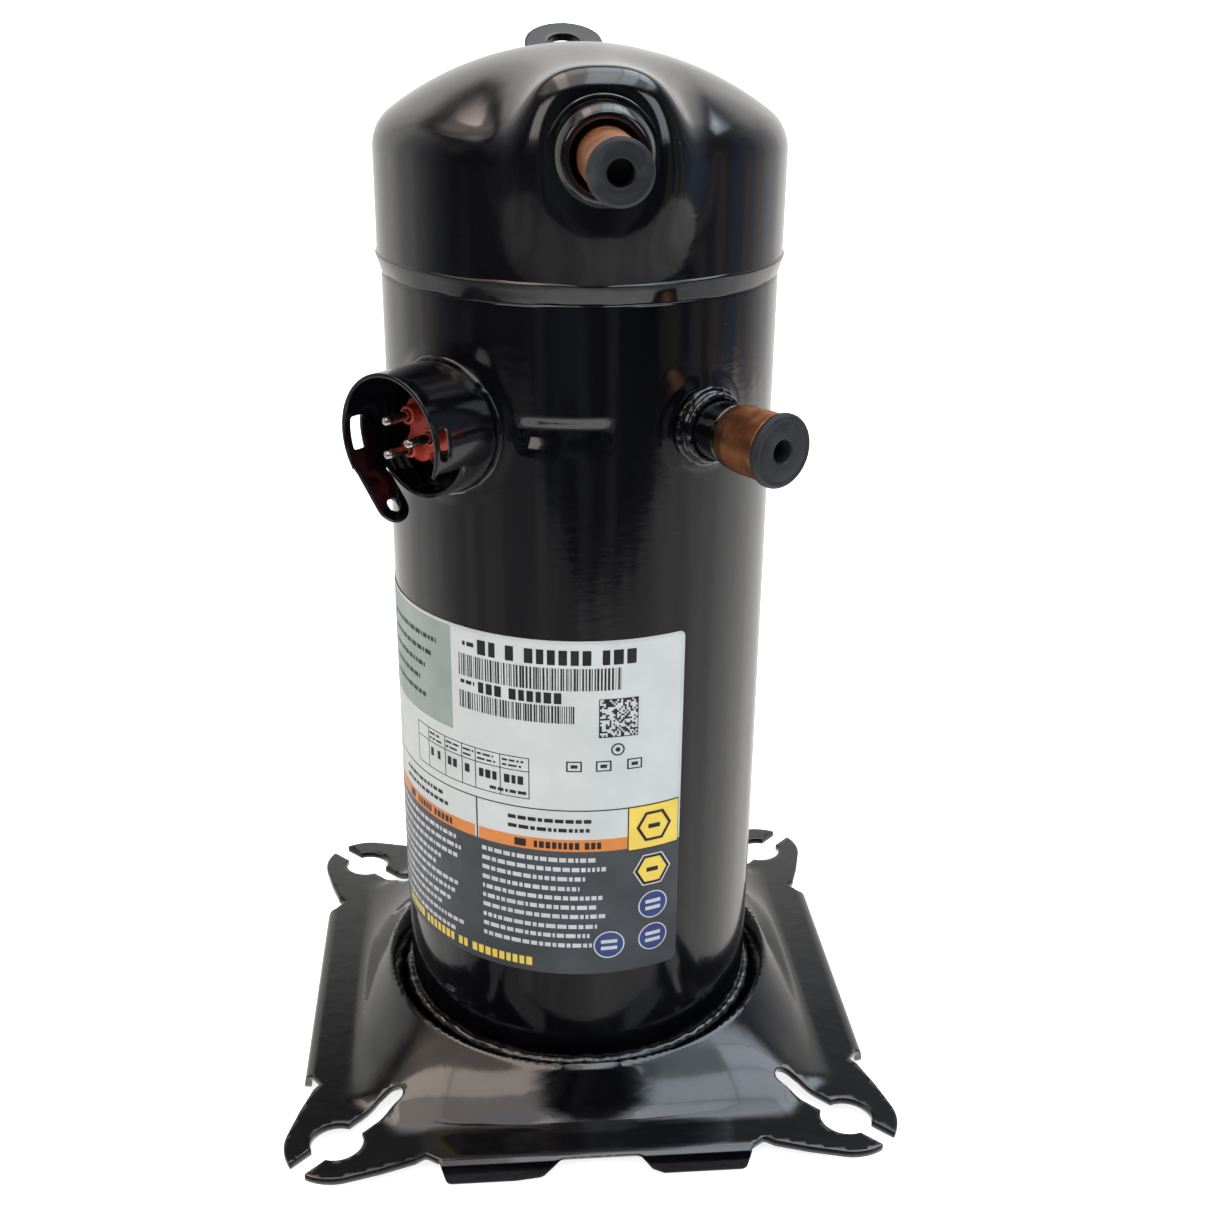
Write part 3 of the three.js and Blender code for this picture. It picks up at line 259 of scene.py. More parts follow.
PAINT = black_paint("paint_black")
PAINT_BASE = black_paint("paint_black_base", (0.08, 0.16), 0.06, 0.35)
PAINT_LUG = black_paint("paint_black_satin", (0.32, 0.42), 0.05, 0.2)
COPPER = copper("copper_patina", 0.75)
COPPER_BRIGHT = copper("copper_bright", 0.15)
RUBBER = rubber("plug_rubber")
RED = insulator("insulator_red")
NICKEL = metal("pin_nickel", (0.45, 0.43, 0.40), (0.78, 0.75, 0.70), (0.16, 0.3), (1, 1, 1), 300)
CAD_LOOKS = {
    "black_paint": PAINT,
    "copper": COPPER_BRIGHT,
    "plug_rubber": RUBBER,
    "red_insulator": RED,
    "pin_nickel": NICKEL,
    "label_stock": plain("label_stock", (0.55, 0.56, 0.57), (0.62, 0.63, 0.64)),
    "bare_sheet": metal("sheet_steel_bare", (0.20, 0.20, 0.21), (0.34, 0.34, 0.35), (0.3, 0.5), (1, 1, 4), 120),
    "scroll_iron": metal("iron_machined", (0.16, 0.16, 0.165), (0.27, 0.27, 0.28), (0.35, 0.55), (1, 1, 12), 90, 0.08),
    "cast_housing": metal("iron_as_cast", (0.075, 0.075, 0.08), (0.14, 0.14, 0.15), (0.55, 0.75), (1, 1, 1), 260, 0.35),
    "sintered_aluminium": metal(
        "aluminium_sintered", (0.42, 0.43, 0.45), (0.58, 0.59, 0.61), (0.4, 0.6), (1, 1, 1), 700, 0.1,
    ),
    "bearing_bronze": metal("bronze_bearing", (0.38, 0.23, 0.09), (0.56, 0.37, 0.16), (0.28, 0.45), (1, 1, 10), 110),
    "ground_steel": metal("steel_ground", (0.34, 0.35, 0.37), (0.52, 0.53, 0.55), (0.12, 0.28), (1, 1, 14), 90),
    "bolt_steel": metal("steel_bolt_black", (0.05, 0.05, 0.055), (0.11, 0.11, 0.12), (0.35, 0.5), (1, 1, 6), 160),
    "laminations": laminations("steel_laminations"),
    "enamelled_copper": enamelled_wire("wire_enamelled"),
    "counterweight_brass": metal(
        "brass_cast", (0.40, 0.27, 0.10), (0.58, 0.42, 0.18), (0.3, 0.5), (1, 1, 1), 180, 0.12,
    ),
    "magnet": plain("magnet_ferrite", (0.028, 0.027, 0.027), (0.05, 0.048, 0.047), (0.5, 0.7), 200, 0.1),
    "connector_polymer": plain(
        "connector_moulding", (0.03, 0.032, 0.036), (0.045, 0.047, 0.052), (0.35, 0.5), 140, 0.06,
    ),
    "lead_insulation": plain("lead_sleeve", (0.10, 0.028, 0.02), (0.15, 0.042, 0.03), (0.4, 0.55), 140, 0.06),
}


# ---------------------------------------------------------------- mesh making

def fillet(corners, steps=5, closed=False):
    """A line with its corners rounded. Each corner is (x, y) or (x, y, radius)."""
    points = []
    last = len(corners) - 1
    for i, corner in enumerate(corners):
        here = np.array(corner[:2], float)
        if len(corner) < 3 or (not closed and i in (0, last)):
            points.append(here)
            continue
        back = np.array(corners[i - 1][:2], float) - here
        ahead = np.array(corners[(i + 1) % len(corners)][:2], float) - here
        lengths = np.linalg.norm(back), np.linalg.norm(ahead)
        back, ahead = back / lengths[0], ahead / lengths[1]
        half = math.acos(float(np.clip(back @ ahead, -1, 1))) / 2
        reach = min(corner[2] / math.tan(half), 0.49 * lengths[0], 0.49 * lengths[1])
        radius = reach * math.tan(half)
        centre = here + (back + ahead) / np.linalg.norm(back + ahead) * radius / math.sin(half)
        first, final = here + back * reach - centre, here + ahead * reach - centre
        start = math.atan2(first[1], first[0])
        sweep = (math.atan2(final[1], final[0]) - start + math.pi) % TAU - math.pi
        for k in range(steps + 1):
            turn = start + sweep * k / steps
            points.append(centre + radius * np.array([math.cos(turn), math.sin(turn)]))
    return np.array(points)


def turns(count):
    """Evenly spaced angles once round."""
    return np.arange(count) * TAU / count


def circle(radius, count, x=0.0, y=0.0):
    turn = turns(count)
    return np.stack([x + radius * np.cos(turn), y + radius * np.sin(turn)], axis=1)


def unit(vectors):
    return vectors / np.linalg.norm(vectors, axis=-1, keepdims=True)


def resample(loop, step):
    """The closed line with no stretch longer than step."""
    loop = np.asarray(loop, float)
    points = []
    for a, b in zip(loop, np.roll(loop, -1, axis=0)):
        count = max(1, math.ceil(np.linalg.norm(b - a) / step - 1e-6))
        points.extend(a + (b - a) * k / count for k in range(count))
    return np.array(points)


def loft(grid, around=True, closed=False):
    """Points and faces of a grid of rings: grid[column][row]. around joins the last column to the first,
    closed joins the last row to the first."""
    grid = np.asarray(grid, float)
    columns, rows = grid.shape[:2]
    faces = []
    for c in range(columns if around else columns - 1):
        d = (c + 1) % columns
        for r in range(rows if closed else rows - 1):
            s = (r + 1) % rows
            faces.append((c * rows + r, d * rows + r, d * rows + s, c * rows + s))
    return grid.reshape(-1, 3), faces


def turn_grid(profile, turn):
    """Rings of a profile of (radius, height) turned round +Z, at angles from the front, -Y."""
    profile = np.asarray(profile, float)
    x = profile[None, :, 0] * np.sin(turn)[:, None]
    y = profile[None, :, 0] * -np.cos(turn)[:, None]
    return np.stack([x, y, np.broadcast_to(profile[None, :, 1], x.shape)], axis=2)


def fitting_frame(angle, z):
    """Columns sideways, up and outwards of a fitting on the shell's side."""
    phi = math.radians(angle)
    return Matrix((
        (math.cos(phi), 0, math.sin(phi), 0),
        (math.sin(phi), 0, -math.cos(phi), 0),
        (0, 1, 0, z),
        (0, 0, 0, 1),
    ))


def placed(points, matrix):
    points = np.asarray(points, float)
    m = np.array(matrix)
    return points @ m[:3, :3].T + m[:3, 3]


def inside(points, loops):
    """Whether each point lies within an odd number of the closed lines."""
    x, y = points[:, 0], points[:, 1]
    odd = np.zeros(len(points), bool)
    for loop in loops:
        for (ax, ay), (bx, by) in zip(loop, np.roll(loop, -1, axis=0)):
            if ay != by:
                crosses = (ay > y) != (by > y)
                odd ^= crosses & (x < (bx - ax) * (y - ay) / (by - ay) + ax)
    return odd


def flat_sheet(outline, holes, spacing, refine=None):
    """A flat region as points and triangles: its edge lines, and a lattice of points between them.
    refine says, for an array of points, which places take a lattice twice as fine."""
    loops = [resample(loop, spacing * 0.8) for loop in (outline, *holes)]
    low, high = loops[0].min(0), loops[0].max(0)
    lattice = []
    for pitch, keep in ((spacing, False), (spacing / 2, True)):
        xs = np.arange(low[0], high[0], pitch)
        ys = np.arange(low[1], high[1], pitch * 0.866)
        field = np.array([(x + (k % 2) * pitch / 2, y) for k, y in enumerate(ys) for x in xs])
        if refine is not None:
            field = field[refine(field) == keep]
        elif keep:
            continue
        lattice.append(field)
    field = np.vstack(lattice)
    field = field[inside(field, loops)]
    rim = np.vstack(loops)
    nearest = np.concatenate([
        np.min(np.linalg.norm(part[:, None] - rim[None], axis=2), axis=1) for part in np.array_split(field, 60)
    ])
    field = field[nearest > 0.5 * spacing * (0.6 if refine is not None else 1)]
    edges, start = [], 0
    for loop in loops:
        count = len(loop)
        edges += [(start + k, start + (k + 1) % count) for k in range(count)]
        start += count
    corners = [Vector(p) for p in np.vstack([rim, field])]
    made = delaunay_2d_cdt(corners, edges, [], 0, 1e-5)
    points = np.array([tuple(p) for p in made[0]])
    triangles = np.array([tuple(f) for f in made[2] if len(f) == 3])
    return points, triangles[inside(points[triangles].mean(1), loops)]


def thicken(points, triangles, thickness, edge=0.4, weld=1e-3):
    """A closed solid: the sheet's outer face, the same face moved inwards, and walls with rounded rims between."""
    rounded = np.round(points / weld).astype(np.int64)
    _, first, joined = np.unique(rounded, axis=0, return_index=True, return_inverse=True)
    points, triangles = points[first], joined.reshape(-1)[triangles]
    a, b, c = (points[triangles[:, k]] for k in range(3))
    face = np.cross(b - a, c - a)
    normal = np.zeros_like(points)
    for k in range(3):
        np.add.at(normal, triangles[:, k], face)
    normal /= np.linalg.norm(normal, axis=1, keepdims=True) + 1e-12
    directed = {(int(t[k]), int(t[(k + 1) % 3])) for t in triangles for k in range(3)}
    ahead = {i: j for i, j in directed if (j, i) not in directed}
    behind = {j: i for i, j in ahead.items()}
    rim = np.array(sorted(ahead))
    along = points[[ahead[i] for i in rim]] - points[[behind[i] for i in rim]]
    inwards = np.cross(normal[rim], along)
    inwards /= np.linalg.norm(inwards, axis=1, keepdims=True) + 1e-12
    count, wall = len(points), len(rim)
    place = {int(i): k for k, i in enumerate(rim)}
    outer, inner = points.copy(), points - thickness * normal
    outer[rim] += edge * inwards
    inner[rim] += edge * inwards
    rows = []
    for draw, depth in ((0.293, 0.293 * edge), (0, edge), (0, thickness - edge), (0.293, thickness - 0.293 * edge)):
        rows.append(points[rim] + inwards * edge * draw - normal[rim] * depth)
    solid = np.vstack([outer, inner, *rows])
    faces = [tuple(int(i) for i in t) for t in triangles]
    faces += [tuple(int(i) + count for i in t[::-1]) for t in triangles]
    for i, j in ahead.items():
        i, j = int(i), int(j)
        left = [i, *(2 * count + k * wall + place[i] for k in range(4)), i + count]
        right = [j, *(2 * count + k * wall + place[j] for k in range(4)), j + count]
        faces += [(right[k], left[k], left[k + 1], right[k + 1]) for k in range(5)]
    return solid, faces


def face_outwards(work):
    """Turns any closed part whose faces all point inwards the right way out."""
    waiting = set(work.faces)
    while waiting:
        part = [waiting.pop()]
        for face in part:
            for edge in face.edges:
                beyond = [other for other in edge.link_faces if other in waiting]
                waiting.difference_update(beyond)
                part.extend(beyond)
        volume = 0.0
        for face in part:
            first, *rest = (vert.co for vert in face.verts)
            volume += sum(first.dot(a.cross(b)) for a, b in zip(rest, rest[1:]))
        if volume < 0:
            bmesh.ops.reverse_faces(work, faces=part)


def piece(name, shape, look, body="casing", stands_for=(), sharp=35, material_of=None):
    """A finished piece of the model from points in millimetres and faces, riding on a CAD body."""
    points, faces = shape
    mesh = bpy.data.meshes.new(name)
    mesh.from_pydata((np.asarray(points, float) * MM).tolist(), [], [tuple(f) for f in faces])
    if material_of is not None:
        mesh.polygons.foreach_set("material_index", np.asarray(material_of, np.int32))
    work = bmesh.new()
    work.from_mesh(mesh)
    bmesh.ops.remove_doubles(work, verts=work.verts, dist=2e-7)
    bmesh.ops.dissolve_degenerate(work, edges=work.edges, dist=1e-8)
    bmesh.ops.recalc_face_normals(work, faces=work.faces)
    face_outwards(work)
    work.to_mesh(mesh)
    work.free()
    for each in look if isinstance(look, (list, tuple)) else [look]:
        mesh.materials.append(each.material)
    made = bpy.data.objects.new(name, mesh)
    bpy.context.scene.collection.objects.link(made)
    mesh.shade_smooth()
    mesh.set_sharp_from_angle(angle=math.radians(sharp))
    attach(made, body)
    if stands_for:
        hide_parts(*stands_for)
    return made


def lumps(points, size, seed):
    """Smooth noise from -1 to 1 at each point, with lumps about size millimetres across."""
    shift = Vector((seed * 7.31, seed * 3.17, seed * 5.53))
    return np.array([noise.noise(Vector(p) / size + shift) for p in np.asarray(points).reshape(-1, 3)])


def bead(centres, sideways, upwards, width, height, seed, lump, rough, section):
    """A lumpy weld bead: an oval section carried round a closed line, swollen and pinched by noise."""
    centres, sideways, upwards = (np.asarray(v, float) for v in (centres, sideways, upwards))
    turn = turns(section)
    swell = 1 + rough * lumps(centres, lump, seed)
    drift = rough * lumps(centres, lump * 1.7, seed + 1)
    ring = (
        centres[:, None]
        + sideways[:, None] * (width * np.cos(turn))[None, :, None] * swell[:, None, None]
        + upwards[:, None] * (height * np.sin(turn))[None, :, None] * swell[:, None, None]
        + upwards[:, None] * (height * 0.5 * drift)[:, None, None]
    )
    fine = lumps(ring, lump * 0.45, seed + 2).reshape(ring.shape[:2])
    ring = ring + (ring - centres[:, None]) * (0.22 * fine)[:, :, None]
    return loft(ring, True, True)


def smooth_step(x, low, high):
    t = np.clip((np.asarray(x, float) - low) / (high - low), 0, 1)
    return t * t * (3 - 2 * t)


# ---------------------------------------------------------------- camera, floor and light

LENS = 45.83
EYE = Vector((-37.33, -550.77, 410.86)) * MM
AZIMUTH, ELEVATION, ROLL = math.radians(-5.0), math.radians(22.69), math.radians(0.60)


def make_camera():
    level = math.cos(ELEVATION)
    back = Vector((math.sin(AZIMUTH) * level, -math.cos(AZIMUTH) * level, math.sin(ELEVATION)))
    right = (-back).cross(Vector((0, 0, 1))).normalized()
    up = right.cross(-back)
    across = right * math.cos(ROLL) + up * math.sin(ROLL)
    above = up * math.cos(ROLL) - right * math.sin(ROLL)
    turn = Matrix((across, above, back)).transposed()
    data = bpy.data.cameras.new("camera")
    data.sensor_width = 36
    data.lens = LENS
    data.clip_start, data.clip_end = 0.01, 50
    camera = bpy.data.objects.new("camera", data)
    camera.matrix_world = Matrix.Translation(EYE) @ turn.to_4x4()
    bpy.context.scene.collection.objects.link(camera)
    bpy.context.scene.camera = camera


def make_floor():
    """A white floor with white walls far off, which reflections leave out: the world stands in for them."""
    look = Look("floor_white", Roughness=0.9, Specular_IOR_Level=0.1)
    look.shader.inputs["Base Color"].default_value = (0.85, 0.85, 0.85, 1)
    look.shader.inputs["Emission Color"].default_value = (1, 1, 1, 1)
    look.shader.inputs["Emission Strength"].default_value = 0.8
    far = 12.0
    ring = [(-far, -far), (far, -far), (far, far), (-far, far)]
    sheets = {
        "floor": ([(x, y, 0) for x, y in ring], [(0, 1, 2, 3)]),
        "walls": (
            [(x, y, z) for z in (0, 2 * far) for x, y in ring],
            [(k, (k + 1) % 4, 4 + (k + 1) % 4, 4 + k) for k in range(4)],
        ),
    }
    for name, (corners, faces) in sheets.items():
        mesh = bpy.data.meshes.new(name)
        mesh.from_pydata(corners, [], faces)
        mesh.materials.append(look.material)
        made = bpy.data.objects.new(name, mesh)
        bpy.context.scene.collection.objects.link(made)
        made.visible_glossy = False
        made.visible_diffuse = name == "floor"


def area_light(name, place, target, size, power, tone):
    data = bpy.data.lights.new(name, "AREA")
    data.shape = "RECTANGLE"
    data.size, data.size_y = size
    data.energy = power
    data.color = tone
    light = bpy.data.objects.new(name, data)
    turn = (Vector(target) - Vector(place)).to_track_quat("-Z", "Y").to_matrix()
    light.matrix_world = Matrix.Translation(place) @ turn.to_4x4()
    bpy.context.scene.collection.objects.link(light)


def make_world():
    """A soft studio round the object: bright behind and above, falling off to dark in front."""
    world = bpy.data.worlds.new("studio")
    world.use_nodes = True
    sky = Nodes(world.node_tree)
    node, maths, mix = sky.node, sky.maths, sky.mix

    def span(*values):
        return sky.span(*values, interpolation_type="SMOOTHSTEP")

    def towards(direction):
        return node("VectorMath", {0: heading, 1: direction}, operation="DOT_PRODUCT").outputs["Value"]

    heading = node("TexCoord").outputs["Generated"]
    behind, right = towards((-0.17, 0.985, 0)), towards((0.94, 0.34, 0))
    across, _, rise = node("SeparateXYZ", {"Vector": heading}).outputs

    # the wall behind, the lighter right side, and the dim room in front with its uprights
    glow = maths("MULTIPLY", span(behind, -0.2, 0.95, 0, 1), span(rise, 0.5, 0.66, 0.85, 0.1))
    side = maths("ADD", glow, span(right, 0.35, 1.0, 0, 0.16))
    upright = node("VectorMath", {0: heading, 1: (5.0, 5.0, 0.7)}, operation="MULTIPLY").outputs["Vector"]
    room = node("TexNoise", {"Vector": upright, "Scale": 1.1, "Detail": 1.0}).outputs[0]
    walls = maths("ADD", side, span(room, 0.46, 0.62, 0.002, 0.11))

    # the skylight overhead, in strips of different brightness
    overhead = node("CombineXYZ", {"X": rise, "Y": rise, "Z": rise}).outputs[0]
    ceiling = node("VectorMath", {0: heading, 1: overhead}, operation="DIVIDE").outputs["Vector"]
    strips = node("TexBrick", {
        "Vector": ceiling, "Color1": (1, 1, 1, 1), "Color2": (0.1, 0.1, 0.1, 1), "Mortar": (0.3, 0.3, 0.3, 1),
        "Scale": 1.0, "Mortar Size": 0.012, "Mortar Smooth": 0.6, "Brick Width": 0.27, "Row Height": 2.6,
    }, offset=0.0).outputs["Color"]
    open_sky = maths("MULTIPLY", span(rise, 0.62, 0.74, 0, 4.4), span(behind, 0.4, 0.75, 1, 0))
    skylight = maths("MULTIPLY", open_sky, strips)

    # the yard in front, below a wandering edge that dips in the middle, and the pale floor at its feet
    wander = node("TexNoise", {"Vector": heading, "Scale": 5.0, "Detail": 3.0}).outputs[0]
    lift = maths("MINIMUM", maths("MULTIPLY", maths("ADD", behind, 0.92), 0.6), 0.13)
    edge = maths("SUBTRACT", maths("MULTIPLY", wander, 0.12), lift)
    yard = span(maths("ADD", rise, edge), -0.322, -0.334, 0, 1)
    brighter = maths("MULTIPLY", span(behind, -0.9, 0.0, 0.38, 0.62), span(behind, 0.1, 0.7, 1, 0.1))
    brighter = maths("MULTIPLY", brighter, span(right, -0.9, 0.1, 0.4, 1))
    ground = maths("ADD", maths("MULTIPLY", yard, brighter), span(rise, -0.63, -0.73, 0, 0.9))
    strength = maths("ADD", maths("ADD", walls, skylight), ground)

    # cool and warm patches in the room, a warm left and cool right overhead, and near white elsewhere
    patches = node("TexNoise", {"Vector": upright, "Scale": 0.9, "Detail": 1.0}).outputs[0]
    room_tone = mix(span(patches, 0.4, 0.6, 0, 1), (0.55, 0.68, 1.0), (1.0, 0.86, 0.72))
    sky_tone = mix(span(across, -0.35, 0.3, 0, 1), (1.0, 0.86, 0.77), (0.80, 0.90, 1.0))
    low_tone = mix(maths("MAXIMUM", span(behind, -0.1, 0.6, 0, 1), yard), room_tone, (1.0, 0.985, 0.96))
    background = world.node_tree.nodes["Background"]
    sky.feed(background.inputs["Color"], mix(span(rise, 0.5, 0.7, 0, 1), low_tone, sky_tone))
    sky.feed(background.inputs["Strength"], strength)
    bpy.context.scene.world = world
    bpy.context.scene.view_settings.view_transform = "Standard"


def make_lights():
    make_world()
    area_light("window_left", (-0.95, -1.15, 0.95), (0, 0, 0.05), (0.7, 0.55), 3.2, (1.0, 0.93, 0.86))
    area_light("window_right", (0.95, -1.2, 0.9), (0, 0, 0.05), (0.6, 0.55), 2.7, (0.86, 0.94, 1.0))


make_camera()
make_floor()
make_lights()


# ---------------------------------------------------------------- cap

def cap_distance(points, offset=0.0):
    """Distance of each point from the cap's outer surface, drawn in by offset: a domed can joined
    softly to the round-topped pad that the discharge stub stands on."""
    x, y, z = points[..., 0], points[..., 1], points[..., 2]
    rho = np.hypot(x, y)
    flat = CAP["radius"] - CAP["knee"]
    above = CAP["knee_z"] - CAP["dome_z"]
    skirt = rho - CAP["radius"]
    knee = np.hypot(rho - flat, z - CAP["knee_z"]) - CAP["knee"]
    dome = np.hypot(rho, z - CAP["dome_z"]) - CAP["dome"]
    on_dome = rho * above < flat * (z - CAP["dome_z"])
    can = np.where(z <= CAP["knee_z"], skirt, np.where(on_dome, dome, knee)) + offset

    phi = math.radians(DISCHARGE["angle"])
    u = x * math.cos(phi) + y * math.sin(phi)
    v = x * math.sin(phi) - y * math.cos(phi)
    w = z - DISCHARGE["z"] + 0.08 * np.clip(CAP["face"] - v, 0, 80)
    low = np.minimum(w, 0)
    tall = np.where(w > 0, w, low * 0.82)
    arch = (np.abs(u) ** 2.5 + np.abs(tall) ** 2.5) ** 0.4 - (CAP["boss"] - 0.02 * low)
    edge = 9.0
    a = arch + offset + edge
    b = v - CAP["face"] + offset + edge
    pad = np.minimum(np.maximum(a, b), 0) + np.hypot(np.maximum(a, 0), np.maximum(b, 0)) - edge
    pad = np.maximum(pad, 6 - v)
    blend = 12.0
    share = np.clip(0.5 + 0.5 * (can - pad) / blend, 0, 1)
    return can * (1 - share) + pad * share - blend * share * (1 - share)


def march(centre, direction, offset):
    """The surface of the cap along each ray from centre, found from outside inwards."""
    reach = np.full(direction.shape[:-1], 125.0)
    for _ in range(90):
        reach = reach - 0.7 * cap_distance(centre + direction * reach[..., None], offset)
    return centre + direction * reach[..., None]


def make_cap():
    fine = np.arange(-44, 44, 0.55)
    coarse = np.arange(44, 316, 1.7)
    turn = np.radians(np.concatenate([fine, coarse]))
    flat = CAP["radius"] - CAP["knee"]
    slope = math.atan2(flat, CAP["knee_z"] - CAP["dome_z"])
    dome = [
        (CAP["dome"] * math.sin(t), CAP["dome_z"] + CAP["dome"] * math.cos(t)) for t in np.linspace(0, slope, 100)
    ]
    knee = [
        (flat + CAP["knee"] * math.sin(t), CAP["knee_z"] + CAP["knee"] * math.cos(t))
        for t in np.linspace(slope, math.pi / 2, 34)[1:]
    ]
    can = np.array(dome + knee + [(CAP["radius"], z) for z in np.linspace(CAP["knee_z"], 317.6, 52)[1:]])
    centre = np.array([0, 0, 328.0])

    def skin(profile, offset):
        return march(centre, unit(turn_grid(profile, turn) - centre), offset)

    outer = skin(can, 0.0)
    ripple = lumps(outer, 26, 3).reshape(outer.shape[:2])
    low = smooth_step(-outer[..., 2], -332, -318)
    outer[..., :2] *= (1 + (0.0016 * ripple * low))[..., None]
    rim = [(71.25, 317.0), (71.1, 316.4), (70.6, 316.05), (69.9, 316.0), (69.0, 316.05), (68.3, 316.5)]
    lip = turn_grid(rim, turn)
    inner = skin(can[::4][::-1], float(CAP["wall"]))
    grid = np.concatenate([outer, lip, inner], axis=1)
    piece("cap_dome", loft(grid), PAINT, stands_for=["top_cap"], sharp=50)


def ring_frames(radius, z, count):
    turn = turns(count)
    out = np.stack([np.cos(turn), np.sin(turn), np.zeros(count)], axis=1)
    centres = out * radius + np.array([0, 0, z])
    return centres, out, np.tile([0, 0, 1.0], (count, 1))


def make_cap_weld():
    """The wide, smooth seam that runs down from the cap's rim on to the barrel, its edges wandering a little."""
    _, out, up = ring_frames(0.0, 0.0, 540)
    section = np.array(fillet([
        (68.3, 316.2, 0.8), (71.0, 318.5, 0.4), (71.75, 317.6, 0.5), (71.1, 315.6), (70.4, 313.4), (69.85, 311.6, 0.4),
        (69.2, 310.9, 0.4), (68.2, 311.8, 0.8),
    ], 5, True))
    place = out * SHELL["radius"]
    top, bottom, swell = lumps(place, 17, 5), lumps(place, 12, 6), lumps(place, 9, 7)
    share = smooth_step(section[:, 1], 311, 317)
    drift = 0.5 * top[:, None] * share[None, :] + 0.8 * bottom[:, None] * (1 - share[None, :])
    outward = smooth_step(section[:, 0], 69.5, 70.5) * np.sin(share * math.pi)
    radius = section[None, :, 0] + 0.12 * swell[:, None] * outward[None, :]
    ring = out[:, None] * radius[..., None] + up[:, None] * (section[None, :, 1] + drift)[..., None]
    piece("cap_weld_bead", loft(ring, True, True), PAINT, sharp=60)


def make_ring_welds():
    make_cap_weld()
    centres, out, up = ring_frames(70.5, 19.4, 520)
    piece("base_weld_bead", bead(centres, out, up, 2.0, 2.2, 9, 6.0, 0.3, 14), PAINT_BASE, sharp=60)


# ---------------------------------------------------------------- shell

DENTS = [
    # middle phi, middle z, half length, half height, corner, depth, edge
    (-49.9, 39.2, 3.0, 2.2, 2.1, 0.55, 1.6),
    (-82.0, 34.0, 2.8, 2.1, 2.0, 0.5, 1.6),
    (-43.0, 34.4, 1.3, 0.9, 0.8, 0.3, 1.0),
]


# the long mark pressed into the front, over the inner housing: a deep sloping roof and a short sill
STAKE = dict(angle=-7.7, top=275.2, roof=4.9, bottom=261.4, sill=8.6, half=17.0, end=5.0, depth=2.1)


def shell_relief(phi, z):
    """How far the shell's side stands out from a plain cylinder, at angles in degrees and heights."""
    radius = SHELL["radius"]
    out = np.zeros_like(phi)
    for middle, level, half, tall, corner, depth, edge in DENTS:
        across = np.abs(radius * np.radians(phi - middle)) - half + corner
        up = np.abs(z - level) - tall + corner
        gap = np.hypot(np.maximum(across, 0), np.maximum(up, 0)) + np.minimum(np.maximum(across, up), 0) - corner
        out = out - depth * (1 - smooth_step(gap, -edge, edge * 0.4))
    mark = smooth_step(STAKE["top"] - z, 0, STAKE["roof"]) * smooth_step(z - STAKE["bottom"], 0, STAKE["sill"])
    across = np.abs(radius * np.radians(phi - STAKE["angle"]))
    out = out - STAKE["depth"] * mark * smooth_step(STAKE["half"] - across, 0, STAKE["end"])
    for fitting, rim, edge, rise in ((TERMINAL, 26.3, 4.0, 0.8), (SUCTION, 16.0, 3.4, 1.1)):
        away = np.hypot(radius * np.radians(phi - fitting["angle"]), z - fitting["z"])
        out = out + rise * (1 - smooth_step(away, rim - edge, rim + edge * 0.6))
    return out


def make_shell():
    columns = np.concatenate([np.arange(-90, 52, 0.6), np.arange(52, 270, 2.0)])
    bands = ((18.6, 30, 2), (30, 44, 0.7), (44, 238, 8), (238, 264, 0.9), (264, 277, 0.45), (277, 300, 0.9))
    heights = np.unique(np.round(np.concatenate([np.arange(*band) for band in bands] + [[303, 306, 308]]), 3))
    phi, z = np.meshgrid(columns, heights, indexing="ij")
    radius = SHELL["radius"] + shell_relief(phi, z)
    turn = np.radians(phi)
    side = np.stack([radius * np.sin(turn), -radius * np.cos(turn), z], axis=2)

    turn = np.radians(columns)
    foot = turn_grid([(66.85, 18.0), (69.4, 18.0), (69.85, 18.3)], turn)
    neck = fillet([(69.85, 308.6), (69.85, 310.6, 1.6), (67.8, 313.2, 1.6), (67.8, 326), (64.9, 326)], 6)
    neck = turn_grid(neck, turn)
    inner = turn_grid([(64.9, 313.5), (66.85, 309), (66.85, 240), (66.85, 120), (66.85, 60)], turn)
    piece(
        "shell_barrel", loft(np.concatenate([foot, side, neck, inner], axis=1), True, True),
        PAINT, stands_for=["shell"], sharp=50,
    )


# ---------------------------------------------------------------- base plate

LEDGE = 91.5        # where the slopes of the pressed well meet the level rim, from the middle
CREST = 79.5        # radius of the well's crest
CREST_RISE = 16.2
BEND_FROM = 106.7   # where the side skirts start to turn down
BEND_RADIUS = 4.0
BEND_TURN = math.radians(80)
SKIRT_LENGTH = 5.2


def well_height(x, y):
    """The pressed plate's top face over the plan: level rim, four slopes that meet in soft hips,
    a round crest, and a groove against the shell."""
    x, y = np.abs(x), np.abs(y)

    def slope(along, away):
        crest = np.sqrt(np.maximum(CREST ** 2 - np.minimum(along, CREST) ** 2, 18 ** 2))
        return (LEDGE - away) / (LEDGE - crest)

    front, side = slope(x, y), slope(y, x)
    soft = 0.045
    share = np.clip(0.5 + 0.5 * (side - front) / soft, 0, 1)
    rise = side * (1 - share) + front * share - soft * share * (1 - share)
    rim = 0.07
    foot = np.where(rise < -rim, 0, np.where(rise > rim, rise, (rise + rim) ** 2 / (4 * rim)))
    radius = np.hypot(x, y)
    hill = BASE["top"] + CREST_RISE * foot
    lobe = smooth_step(np.hypot(x - BASE["hole"], y - BASE["hole"]), 17, 25)
    hill = BASE["top"] + (hill - BASE["top"]) * lobe
    bowl = BASE["groove"] + np.maximum(radius - 72.4, 0) * 1.35
    top = 2.2
    share = np.clip(0.5 + 0.5 * (bowl - hill) / top, 0, 1)
    return bowl * (1 - share) + hill * share - top * share * (1 - share)


